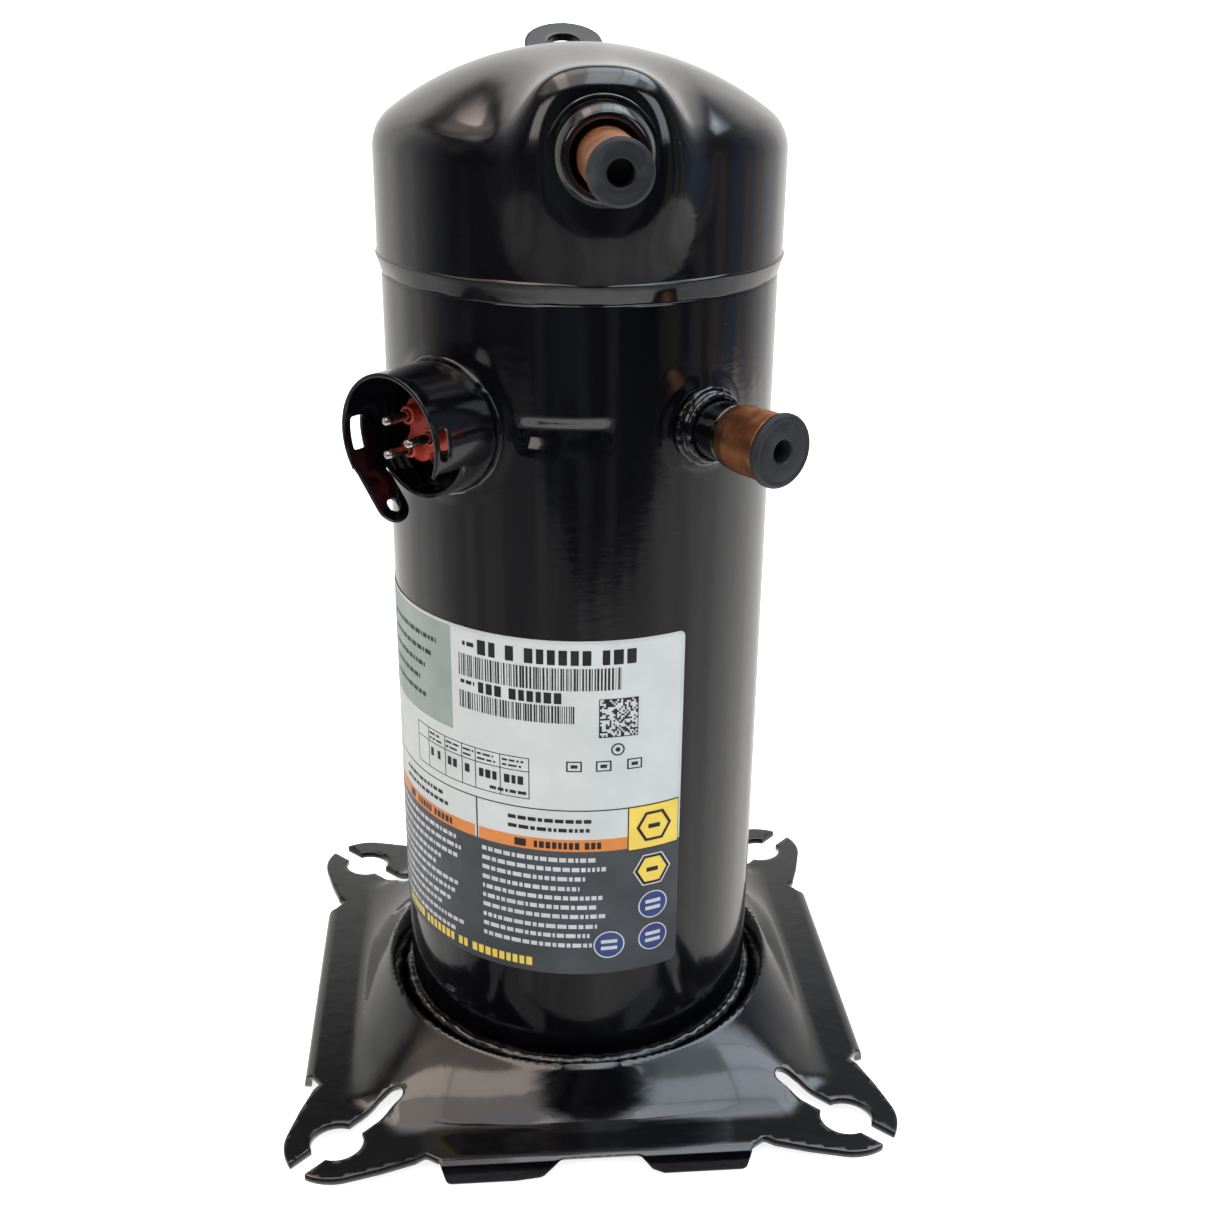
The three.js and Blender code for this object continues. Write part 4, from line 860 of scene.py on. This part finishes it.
def fold(points):
    """Flat-pattern points of the base plate as points of its pressed top face."""
    x, y = points[:, 0], points[:, 1]
    made = np.stack([x, y, well_height(x, y)], axis=1)
    for axis in (0, 1):
        away, along = points[:, axis], points[:, 1 - axis]
        flap = (np.abs(away) > BEND_FROM) & (np.abs(along) < 64)
        run = np.abs(away) - BEND_FROM
        turn = np.minimum(run / BEND_RADIUS, BEND_TURN)
        rest = np.maximum(run - BEND_RADIUS * BEND_TURN, 0)
        reach = BEND_FROM + BEND_RADIUS * np.sin(turn) + rest * math.cos(BEND_TURN)
        drop = BEND_RADIUS * (1 - np.cos(turn)) + rest * math.sin(BEND_TURN)
        made[flap, axis] = (np.sign(away) * reach)[flap]
        made[flap, 2] = (BASE["top"] - drop)[flap]
    return made


def skirt_edge(notched):
    """One side skirt's outline in the flat pattern, from left to right along the front."""
    end = BEND_FROM + BEND_RADIUS * BEND_TURN + SKIRT_LENGTH
    left, right = [(-58, -107.2, 0.5), (-55, -end, 2.5)], [(55, -end, 2.5), (58, -107.2, 0.5)]
    top = BEND_FROM + 2.9
    notch = [
        (-30, -end, 3.0), (-20, -end + 1.0, 4.0), (-13, -top, 3.5), (15.5, -top, 3.5), (20, -end + 2.0, 3.5),
        (24.5, -end, 2.0),
    ]
    return left + (notch if notched else []) + right


def turned_plan(corners, quarter):
    c, s = ((1, 0), (0, 1), (-1, 0), (0, -1))[quarter]
    return [(x * c - y * s, x * s + y * c, *rest) for x, y, *rest in corners]


def keyhole_lobe():
    """The front-right corner of the outline: the lobe's round edge, its mouth, hole and slot, and back."""
    far = math.hypot(BASE["hole"], BASE["hole"])
    half, narrow = BASE["mouth"] / 2, BASE["slot"] / 2
    lobe = BASE["lobe"]
    line = []

    def away(distance, side):
        return (distance + side) / math.sqrt(2), -(distance - side) / math.sqrt(2)

    first, final = math.radians(-102.7), math.radians(-45) - math.asin((half + 1.1) / lobe)
    for k in range(11):
        turn = first + (final - first) * k / 10
        line.append((BASE["hole"] + lobe * math.cos(turn), -BASE["hole"] + lobe * math.sin(turn)))
    reach = math.sqrt(lobe ** 2 - half ** 2)
    line.append((*away(far + reach - 0.1, -half), 1.2))
    start = math.atan2(-half, math.sqrt(BASE["bore"] ** 2 - half ** 2))
    for k in range(12):
        turn = start + (-(math.pi - math.asin(narrow / BASE["bore"])) - start) * k / 11
        line.append(away(far + BASE["bore"] * math.cos(turn), BASE["bore"] * math.sin(turn)))
    for k in range(9):
        turn = -math.pi / 2 - math.pi * k / 8
        line.append(away(BASE["slot_end"] + narrow * math.cos(turn), narrow * math.sin(turn)))
    mirrored = [(-p[1], -p[0], *p[2:]) for p in line[:-9]]
    return line + mirrored[::-1]


def make_base():
    corners = []
    for quarter in range(4):
        side = [(-66, -106.5, 2.0), (-62.5, -104, 1.2)]
        side += skirt_edge(quarter in (0, 2))
        side += [(62.5, -104, 1.2), (66, -106.5, 2.0), (78, -110.6, 14)]
        side += keyhole_lobe()
        side += [(110.6, -78, 14)]
        corners += turned_plan(side, quarter)
    outline = fillet(corners, 4, closed=True)
    hole = circle(BASE["inner"], 180)

    def busy(points):
        radius = np.hypot(points[:, 0], points[:, 1])
        away = np.maximum(np.abs(points[:, 0]), np.abs(points[:, 1]))
        return (radius < 84) | ((away > 104.5) & (np.minimum(np.abs(points[:, 0]), np.abs(points[:, 1])) < 62))

    points, triangles = flat_sheet(outline, [hole], 2.3, busy)
    solid = thicken(fold(points), triangles, float(BASE["sheet"]), 0.5)
    piece("base_pressing", solid, PAINT_BASE, stands_for=["base_plate"], sharp=38)


# ---------------------------------------------------------------- lower cap, suction and discharge stubs

def turned_piece(name, profile, place, look, columns=96, closed=True, body="casing", stands_for=()):
    grid = placed(turn_grid(profile, turns(columns)), place)
    return piece(name, loft(grid, True, closed), look, body, stands_for)


def make_bottom_head():
    """The dished lower cap, pressed in one smooth curve."""
    outer, floor, knee, wall = DISH["radius"], DISH["floor"], DISH["knee"], DISH["wall"]
    inner = outer - wall
    dish = fillet([
        (0, floor), (outer, floor, knee), (outer, DISH["top"], 0.6), (inner, DISH["top"], 0.4),
        (inner, floor + wall, knee - wall), (0, floor + wall),
    ], 12)
    turned_piece("bottom_head", dish, Matrix(), PAINT, 128, False, stands_for=["lower_cap"])


def carried(centres, sideways, upwards, place):
    """A ring's centres and directions, given in a fitting's frame, carried into the model's."""
    turned = np.array(place)[:3, :3]
    return placed(centres, place), sideways @ turned.T, upwards @ turned.T


def saddle_rings(place, radius, out, count):
    """Centre, sideways and outward directions of a ring round a fitting that follows the barrel's curve."""
    _, sideways, upwards = ring_frames(0.0, 0.0, count)
    centres = sideways * radius
    centres[:, 2] = np.sqrt(out ** 2 - centres[:, 0] ** 2)
    return carried(centres, sideways, upwards, place)


def rubber_plug(stem, stem_from, end, flange, face):
    """Profile of a push-in shipping plug with a blind hole, and a fine raised ring on its face."""
    hole, depth = 3.85, 12.0
    return fillet([
        (0, stem_from), (stem - 0.6, stem_from, 0.4), (stem, stem_from + 1, 0.4), (stem, end + 0.3),
        (flange - 0.5, end + 0.3, 0.3), (flange, end + 1.0, 0.5), (flange, face - 0.9, 0.9), (flange - 1.0, face, 0.8),
        (flange - 2.3, face), (flange - 2.5, face - 0.1), (flange - 2.7, face), (hole + 0.45, face, 0.4),
        (hole, face - 0.6, 0.4), (hole, face - depth, 0.5), (0, face - depth),
    ], 4)


def make_suction():
    place = fitting_frame(**SUCTION)
    collar = fillet([
        (8.6, 62.5), (9.8, 62.5), (9.8, 66), (12.3, 66), (12.3, 73.6, 0.9), (11.6, 74.9, 0.7), (10.9, 74.2, 0.4),
        (9.8, 74.6, 0.4), (9.7, 80), (9.75, 84.4, 0.3), (9.3, 84.9, 0.2), (8.6, 84.9),
    ], 5, closed=True)
    turned_piece("suction_neck", collar, place, PAINT, stands_for=["suction_collar"])
    frames = saddle_rings(place, 12.2, 72.6, 150)
    piece("suction_braze", bead(*frames, 1.35, 1.2, 21, 2.6, 0.28, 12), PAINT, sharp=60)
    frames = carried(*ring_frames(10.9, 75.0, 120), place)
    piece("suction_solder", bead(*frames, 1.15, 1.25, 23, 2.2, 0.3, 12), PAINT, sharp=60)
    bell = fillet([
        (7.3, 62.5), (8.3, 62.5), (8.3, 85.2, 0.2), (9.6, 85.3, 0.6), (10.7, 87.2, 2.5), (11.2, 91, 5),
        (11.2, 104.5, 0.3), (11.0, 105.0, 0.3), (10.0, 105.0, 0.3), (9.6, 104.4, 0.3), (9.6, 89, 2), (7.3, 86, 2),
    ], 5, closed=True)
    turned_piece("suction_stub", bell, place, COPPER, 120, stands_for=["suction_tube"])
    plug = rubber_plug(9.3, 92.0, 105.0, 12.2, 108.3)
    turned_piece(
        "suction_cap_plug", plug, place, RUBBER, 120, False, "suction_plug_body", ["suction_plug"],
    )


def make_discharge():
    place = fitting_frame(**DISCHARGE)
    collar = fillet([
        (9.3, 66), (11, 66), (11, 71.0), (17.2, 71.0), (17.4, 72.3, 0.5), (16.9, 73.0, 0.35), (16.3, 72.4, 0.4),
        (15.6, 71.9, 0.5), (15.2, 72.8, 0.5), (15.3, 79.6, 4.0), (13.4, 83.4, 2.6), (11.2, 83.6, 1.2),
        (10.0, 80.5, 1.0), (9.3, 79.8, 0.3),
    ], 6, closed=True)
    turned_piece("discharge_neck", collar, place, PAINT, 128, stands_for=["discharge_collar"])
    stub = fillet([
        (7.9, 62), (9, 62), (9, 114.9, 0.5), (8.7, 115.6, 0.3), (8.1, 115.6, 0.2), (7.9, 115.2),
    ], 4, closed=True)
    turned_piece("discharge_stub", stub, place, COPPER_BRIGHT, 96, stands_for=["discharge_tube"])
    plug = rubber_plug(7.6, 103.0, 115.6, 9.6, 119.0)
    turned_piece(
        "discharge_cap_plug", plug, place, RUBBER, 120, False, "discharge_plug_body",
        ["discharge_plug"],
    )


# ---------------------------------------------------------------- terminal

def make_fence():
    place = fitting_frame(**TERMINAL)
    radius = FENCE["radius"]

    def run(angle):
        return radius * math.radians(angle - 90)

    turn = np.radians(np.arange(90, 450.01, 3.0))
    foot = [(run(math.degrees(t)), math.sqrt(70.4 ** 2 - (radius * math.cos(t)) ** 2)) for t in turn]
    high, low = FENCE["high"], FENCE["low"]
    start = run(TAB["angle"])
    end = start + TAB["hole"]
    under, over = TAB["middle"] - TAB["half"], TAB["middle"] + TAB["half"]
    nose = [
        (end + TAB["half"] * math.sin(t), TAB["middle"] - TAB["half"] * math.cos(t))
        for t in np.linspace(0, math.pi, 17)
    ]
    edge = [
        (run(FENCE["low_to"]), high, 1.6), (run(FENCE["low_to"]), low, 1.6), (start + 4.5, low),
        (start + 2.2, low, 0.6), (start + 0.8, low + 0.3, 0.5), (start + 2.0, low + 1.3, 0.5),
        (start + 4.5, under, 1.0), *nose, (start + 6, over), (start + 1, over, 4), (start - 4, high, 5),
    ]
    outline = foot + [(run(450), high)] + [tuple(p) for p in fillet(edge, 4, closed=True)] + [(0, high)]
    slots = []
    for middle, half, bottom, top, corner in ((185, 15.5, 87.7, 92.8, 0.9), (366, 14, 89.4, 94.0, 1.9)):
        left, right = run(middle - half), run(middle + half)
        box = [(left, bottom, corner), (right, bottom, corner), (right, top, corner), (left, top, corner)]
        slots.append(fillet(box, 5, closed=True))
    slots.append(circle(TAB["bore"], 36, end, TAB["middle"]))
    points, triangles = flat_sheet(outline, slots, 1.25)

    s, out = points[:, 0], points[:, 1]
    on_tab = (s > start) & (s < end + 9) & (out > low + 0.2)
    angle = np.where(on_tab, math.radians(TAB["angle"]), s / radius + math.pi / 2)
    beyond = np.where(on_tab, s - start, 0)
    rim = np.hypot(s - end, out - TAB["middle"])
    dish = np.where(on_tab, 0.5 * (1 - smooth_step(rim, 2.6, 4.4)), 0)
    shape = np.stack([
        (radius - dish) * np.cos(angle) - beyond * np.sin(angle),
        (radius - dish) * np.sin(angle) + beyond * np.cos(angle),
        out,
    ], axis=1)
    solid = thicken(placed(shape, place), triangles, FENCE["sheet"], 0.3)
    piece("terminal_fence_wall", solid, PAINT, stands_for=["terminal_fence"], sharp=38)
    frames = saddle_rings(place, 22.3, 70.9, 200)
    piece("fence_weld_fillet", bead(*frames, 1.3, 1.1, 31, 7.0, 0.18, 12), PAINT, sharp=60)


def make_terminal():
    place = fitting_frame(**TERMINAL)
    cup = fillet([
        (0, 66.5), (18.9, 66.5), (18.9, 69.6, 0.6), (18.2, 70.6, 0.5), (16.6, 70.9, 0.3), (16.2, 71.7, 0.3),
        (14.2, 72.1, 0.3), (13.8, 73.0, 0.3), (12.5, 73.2, 0.6), (0, 73.2),
    ], 4)
    turned_piece("terminal_cup", cup, place, PAINT, 96, False, stands_for=["terminal_body"])

    lobe, pins = 5.6, circle(6.5, 3)
    ray = circle(1.0, 144)
    reach = np.full(144, 7.5)
    for middle in pins:
        along = ray @ middle
        across = middle @ middle - along ** 2
        hit = np.where(across < lobe ** 2, along + np.sqrt(np.maximum(lobe ** 2 - across, 0)), 0)
        reach = np.maximum(reach, hit)
    layers = (
        (0.0, 73.5), (1.0, 73.5), (1.0, 78.2), (0.985, 78.7), (0.93, 79.1), (0.62, 79.3), (0.6, 79.9), (0.0, 80.0),
    )
    block = np.array([[(*(r * d * share), out) for share, out in layers] for r, d in zip(reach, ray)])
    block = loft(placed(block, place))
    piece("terminal_insulator", block, RED, stands_for=["terminal_block"], sharp=40)
    boss = [(1.95, 77), (3.4, 77), (3.15, 83.6, 0.4), (2.9, 84.0, 0.3), (2.2, 84.0, 0.3), (1.95, 83.4)]
    boss = fillet(boss, 4, closed=True)
    pin = fillet([
        (0, 53), (1.4, 53, 0.3), (1.6, 53.8, 0.3), (1.6, 92.6, 0.5), (1.25, 93.7, 0.35), (0.8, 93.95, 0.12),
        (0.7, 93.75, 0.05), (0.55, 93.95, 0.1), (0, 94),
    ], 3)
    for k, middle in enumerate(pins):
        at = place @ Matrix.Translation((*middle, 0))
        turned_piece(f"terminal_boss_{k + 1}", boss, at, RED, 48)
        turned_piece(
            f"contact_pin_{k + 1}", pin, at, NICKEL, 40, False, stands_for=[f"terminal_pin_{k + 1}"],
        )


# ---------------------------------------------------------------- lifting lug

def make_lug():
    radius, reach, sheet = LUG["radius"], LUG["reach"], LUG["sheet"]
    arc = [(radius * math.cos(t), radius * math.sin(t)) for t in np.linspace(0, math.pi, 25)]
    outline = arc + [(-radius, -reach), (radius, -reach)]
    points, triangles = flat_sheet(outline, [circle(LUG["hole"], 40)], 1.4)
    flat = np.column_stack([points, np.full(len(points), sheet / 2)])
    tilt = Matrix.Rotation(math.radians(LUG["tilt"]), 4, "X")
    place = Matrix.Translation((LUG["x"], LUG["y"], LUG["z"])) @ tilt
    plate = thicken(placed(flat, place), triangles, sheet, 0.55)

    wide, deep = radius, LUG["foot"] / 2
    base = fillet([(-wide, 0, 3), (wide, 0, 3), (wide, 2 * deep, 3), (-wide, 2 * deep, 3)], 5, closed=True)
    points, triangles = flat_sheet(base, [], 1.6)
    foot_angle = Matrix.Rotation(-math.radians(LUG["foot_angle"]), 4, "X")
    turn_down = Matrix.Translation((LUG["x"], 0, CAP["dome_z"])) @ foot_angle
    lift = CAP["dome"] + 0.3 + sheet
    sag = (points[:, 0] ** 2 + points[:, 1] ** 2) / (2 * CAP["dome"])
    flat = np.column_stack([points[:, 0], points[:, 1], lift - sag])
    foot = thicken(placed(flat, turn_down), triangles, sheet + 0.2, 0.55)
    count = len(plate[0])
    both = np.vstack([plate[0], foot[0]]), plate[1] + [tuple(i + count for i in f) for f in foot[1]]
    piece("lug_plate", both, PAINT_LUG, stands_for=["lifting_lug"], sharp=38)
    rim = resample(np.array([(p[0] * 1.03, (p[1] - deep) * 1.05 + deep) for p in base]), 0.9)
    height = np.sqrt(CAP["dome"] ** 2 - (rim ** 2).sum(1)) + 0.2
    centres = placed(np.column_stack([rim, height]), turn_down)
    middle = placed([[0, deep, CAP["dome"]]], turn_down)[0]
    weld = bead(
        centres, unit(centres - middle), unit(centres - (LUG["x"], 0, CAP["dome_z"])), 1.6, 1.5, 41, 3.2, 0.35, 10,
    )
    piece("lug_weld_bead", weld, PAINT_LUG, sharp=60)


# ---------------------------------------------------------------- rating label, with generic marks only

LABEL_TONES = [     # darker and lighter tone, roughness, scale of the tones and depth of the tooth
    ("label_paper", (0.42, 0.45, 0.44), (0.48, 0.51, 0.50), (0.3, 0.45), 60, 0.05),
    ("label_white", (0.45, 0.48, 0.47), (0.51, 0.54, 0.53), (0.3, 0.45), 60, 0.05),
    ("label_grey_panel", (0.21, 0.26, 0.24), (0.27, 0.32, 0.30), (0.3, 0.45), 60, 0.05),
    ("label_dark_field", (0.035, 0.042, 0.048), (0.055, 0.062, 0.07), (0.28, 0.42), 60, 0.05),
    ("label_black_print", (0.010, 0.010, 0.012), (0.018, 0.018, 0.02), (0.35, 0.5), 90, 0.04),
    ("label_orange", (0.52, 0.155, 0.02), (0.62, 0.21, 0.035), (0.3, 0.45), 60, 0.04),
    ("label_yellow", (0.66, 0.47, 0.05), (0.75, 0.56, 0.08), (0.3, 0.45), 60, 0.04),
    ("label_blue", (0.016, 0.035, 0.15), (0.025, 0.055, 0.21), (0.3, 0.45), 60, 0.04),
    ("label_text", (0.42, 0.44, 0.46), (0.5, 0.52, 0.54), (0.35, 0.5), 90, 0.04),
]
PAPER, WHITE, GREY, DARK, INK, ORANGE, YELLOW, BLUE, TEXT = range(9)


def make_label():
    """The sticker and its print: shapes given in degrees round the shell and heights, each lying a little
    further out than the one under it."""
    left, right, bottom, top = LABEL["left"], LABEL["right"], LABEL["bottom"], LABEL["top"]
    field, edge = LABEL["field"], 1.2
    degree = math.radians(1) * LABEL["radius"]
    random = np.random.default_rng(12)
    points, faces, inks = [], [], []

    def bend(flat, radius):
        turn = flat[:, 0] / LABEL["radius"]
        return np.column_stack([radius * np.sin(turn), -radius * np.cos(turn), flat[:, 1]])

    def add(made, triangles, ink):
        start = len(points)
        points.extend(map(tuple, made))
        faces.extend(tuple(int(i) + start for i in t) for t in triangles)
        inks.extend([ink] * len(triangles))

    def patch(corners, ink, level):
        """A printed shape with five corners or more."""
        outline = resample(np.array([(a * degree, z) for a, z in corners]), 2.4)
        flat, triangles = flat_sheet(outline, [], 3.0)
        add(bend(flat, LABEL["radius"] + level * LABEL["ink"]), triangles, ink)

    def block(a0, a1, z0, z1, ink, level=1):
        across = np.linspace(a0, a1, max(2, math.ceil(abs(a1 - a0) / 2.0) + 1))
        flat = np.array([(a * degree, z) for a in across for z in (z0, z1)])
        starts = range(0, 2 * (len(across) - 1), 2)
        triangles = [t for i in starts for t in ((i, i + 2, i + 3), (i, i + 3, i + 1))]
        add(bend(flat, LABEL["radius"] + level * LABEL["ink"]), triangles, ink)

    def disc(a, z, size, ink, level, sides=24):
        patch([(a + x / degree, z + y) for x, y in circle(size, sides)], ink, level)

    def lines(a0, a1, z0, z1, rows, ink, level=2, fill=0.5, ragged=0.3):
        """Rows of short bars that stand for print."""
        step = (z1 - z0) / rows
        for r in range(rows):
            z = z1 - (r + 0.5) * step
            a, stop = a0, a1 - ragged * (a1 - a0) * random.random()
            while a < stop - 0.4:
                word = 0.7 + 2.4 * random.random()
                block(a, min(a + word, stop), z - step * fill / 2, z + step * fill / 2, ink, level)
                a += word + 0.55

    def glyphs(a0, a1, z0, z1, ink=INK):
        """A row of upright blocks, about as wide as bold capitals but spelling nothing."""
        a, tall = a0, z1 - z0
        while a < a1:
            wide = tall * (0.45 + 0.2 * random.random()) / degree
            block(a, a + wide, z0, z1, ink, 3)
            a += wide + tall * (0.22 if random.random() < 0.82 else 0.7) / degree

    def bars(a0, a1, z0, z1):
        """Upright bars of random widths."""
        a = a0
        while a < a1:
            wide = 0.16 + 0.5 * random.random()
            block(a, min(a + wide, a1), z0, z1, INK, 2)
            a += wide + 0.14 + 0.42 * random.random()

    # stock, with rounded corners and a real thickness
    corner = 2.4
    low_left, low_right = (left * degree, bottom, corner), (right * degree, bottom, corner)
    high_right, high_left = (right * degree, top, corner), (left * degree, top, corner)
    sheet, triangles = flat_sheet(fillet([low_left, low_right, high_right, high_left], 5, closed=True), [], 3.2)
    stock, stock_faces = thicken(bend(sheet, LABEL["radius"]), triangles, LABEL["stock"], 0.05)
    add(stock, stock_faces, PAPER)
    inks[:] = [DARK if stock[list(face), 2].mean() < field else PAPER for face in stock_faces]

    # white upper field, dark lower field and the grey panel of the left half
    block(left + edge, right - edge, field, 195.3, WHITE)
    foot = fillet([
        (left * degree + 0.1, bottom + 0.1, corner), (right * degree - 0.1, bottom + 0.1, corner),
        (right * degree - 0.1, field), (left * degree + 0.1, field),
    ], 5, closed=True)
    patch([(x / degree, z) for x, z in foot], DARK, 1)
    block(left + edge, -44.0, 154.8, 195.3, GREY, 2)
    lines(-80, -47, 160, 190, 5, INK, 3, 0.3, 0.4)
    lines(-125, -86, 160, 190, 5, INK, 3, 0.3, 0.4)

    # bars, code square and neutral marks of the middle column
    lines(-39.5, -35.5, 189.4, 191.2, 1, INK, 2, 0.9, 0)
    glyphs(-34.2, 10.0, 187.4, 193.0)
    bars(-41, 8.2, 177.7, 186.2)
    lines(-40.5, -35.5, 174.6, 176.2, 1, INK, 2, 0.9, 0)
    glyphs(-34.2, -9.0, 172.6, 176.8)
    bars(-41, -4.9, 165.0, 171.8)
    block(1.9, 13.5, 159.3, 174.4, INK, 2)
    for i in range(20):
        for j in range(20):
            if random.random() < 0.52:
                block(2.2 + i * 0.55, 2.2 + (i + 1) * 0.55, 159.7 + j * 0.72, 159.7 + (j + 1) * 0.72, WHITE, 3)
    for size, ink, level in ((2.5, INK, 2), (1.9, WHITE, 3), (0.9, INK, 4)):
        disc(7.5, 154.4, size, ink, level)
    for a in (-5.2, 3.4, 12.6):
        block(a - 2.3, a + 2.3, 146.0, 150.2, INK, 2)
        block(a - 1.8, a + 1.8, 146.5, 149.7, WHITE, 3)
        block(a - 1.0, a + 1.0, 147.4, 148.8, INK, 4)

    # a small ruled table over the left half of the white field
    for z in (133.7, 144.6, 150.0):
        block(-62, -18.3, z, z + 0.35, INK, 2)
    for a in (-62, -56, -48, -41, -36, -27.6, -18.6):
        block(a, a + 0.3, 133.7, 150.0, INK, 2)
    for a0, a1 in ((-55.4, -48.6), (-47.4, -41.6), (-40.4, -36.4), (-35.2, -28.4), (-26.8, -19.2)):
        lines(a0, a1, 145.4, 149.4, 2, INK, 3, 0.4, 0.2)
        glyphs(a0 + 0.6, a1 - 1.2, 139.2, 142.6)
    lines(-31, -19, 134.6, 137.2, 1, INK, 3, 0.5, 0)

    # notes, orange strips and greeked paragraphs, one set to each column
    block(left + edge, right - edge, 129.9, 130.4, INK, 2)
    for a in (-82.8, -36.0):
        block(a, a + 0.5, field, 130.0, INK, 2)
    for a0, a1 in ((-128, -83.4), (-82.0, -36.6), (-35.2, 10.8)):
        lines(a0 + 10, a1 - 10, 120.2, 127.6, 2, INK, 3, 0.42, 0.1)
        block(a0, a1, field, 118.2, ORANGE, 2)
        block(a0 + 12, a0 + 15.6, 114.1, 117.2, INK, 3)
        glyphs(a0 + 18, a1 - 9, 114.2, 117.0)
        for top_line, rows in ((111.6, 1), (107.6, 2), (99.4, 4), (83.0, 2), (74.8, 1)):
            lines(a0 + 1, a1 - 5, top_line - 4.0 * rows, top_line, rows, TEXT, 2, 0.44, 0.35)
    lines(-81, -36.6, 66.4, 70.4, 1, TEXT, 2, 0.44, 0.2)
    glyphs(-76, -18, 62.6, 66.2, YELLOW)

    # made-up signs at the right edge: plain hexagons and discs with short bars
    block(10.8, 27.4, 112.0, 130.4, INK, 3)
    block(11.2, 27.2, 112.4, 129.9, YELLOW, 4)
    for a, z, size, ink, level in (
        (19.2, 121.2, 7.0, INK, 5), (19.2, 121.2, 5.7, YELLOW, 6),
        (18.9, 102.8, 7.6, TEXT, 3), (18.9, 102.8, 7.0, INK, 4), (18.9, 102.8, 5.8, YELLOW, 5),
    ):
        disc(a, z, size, ink, level, 6)
    block(17.3, 21.1, 120.3, 122.1, INK, 7)
    block(17.0, 20.8, 101.9, 103.7, INK, 6)
    for a, z in ((19.4, 87.4), (19.6, 73.2), (5.6, 72.6)):
        disc(a, z, 5.9, TEXT, 3)
        disc(a, z, 5.4, BLUE, 4)
        block(a - 2.5, a + 2.5, z + 0.7, z + 2.2, TEXT, 5)
        block(a - 2.5, a + 2.5, z - 2.2, z - 0.7, TEXT, 5)

    piece(
        "label_print", (np.array(points), faces), [plain(*tone) for tone in LABEL_TONES],
        stands_for=["rating_label"], sharp=30, material_of=inks,
    )


# ---------------------------------------------------------------- inner parts

def make_relief_coil():
    """The relief valve's spring, built at one fixed length; the real one closes up as the plunger is pushed down on it.
    """
    coil = RELIEF_COIL
    wire, foot = coil["wire"], coil["foot"]
    share = np.linspace(0, 1, 150)
    turn = share * coil["turns"] * TAU
    upwards = np.array([0, 0, 1.0])
    outwards = np.stack([np.cos(turn), np.sin(turn), 0 * turn], axis=1)
    climb = np.outer(share * (coil["head"] - foot - 2 * wire), upwards)
    centres = outwards * coil["radius"] + (0, coil["y"], foot + wire) + climb
    sides = 10
    section = circle(wire, sides)
    rings = centres[:, None] + outwards[:, None] * section[None, :, :1] + upwards * section[None, :, 1:]
    points, faces = loft(rings, False, True)
    faces += [tuple(range(sides)), tuple(range(len(points) - sides, len(points)))]
    look = CAD_LOOKS["ground_steel"]
    coil = piece("relief_coil", (points, faces), look, stands_for=["relief_spring"])
    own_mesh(coil)


def finish_cad_nodes():
    """Gives every CAD node its slot's procedural material."""
    for part in frame["record"]["subparts"]:
        node = frame["nodes"][part["node"]]
        node.data.materials.clear()
        node.data.materials.append(CAD_LOOKS[part["material_slot"]].material)


make_cap()
make_ring_welds()
make_shell()
make_base()
make_bottom_head()
make_suction()
make_discharge()
make_fence()
make_terminal()
make_lug()
make_label()
make_relief_coil()
finish_cad_nodes()
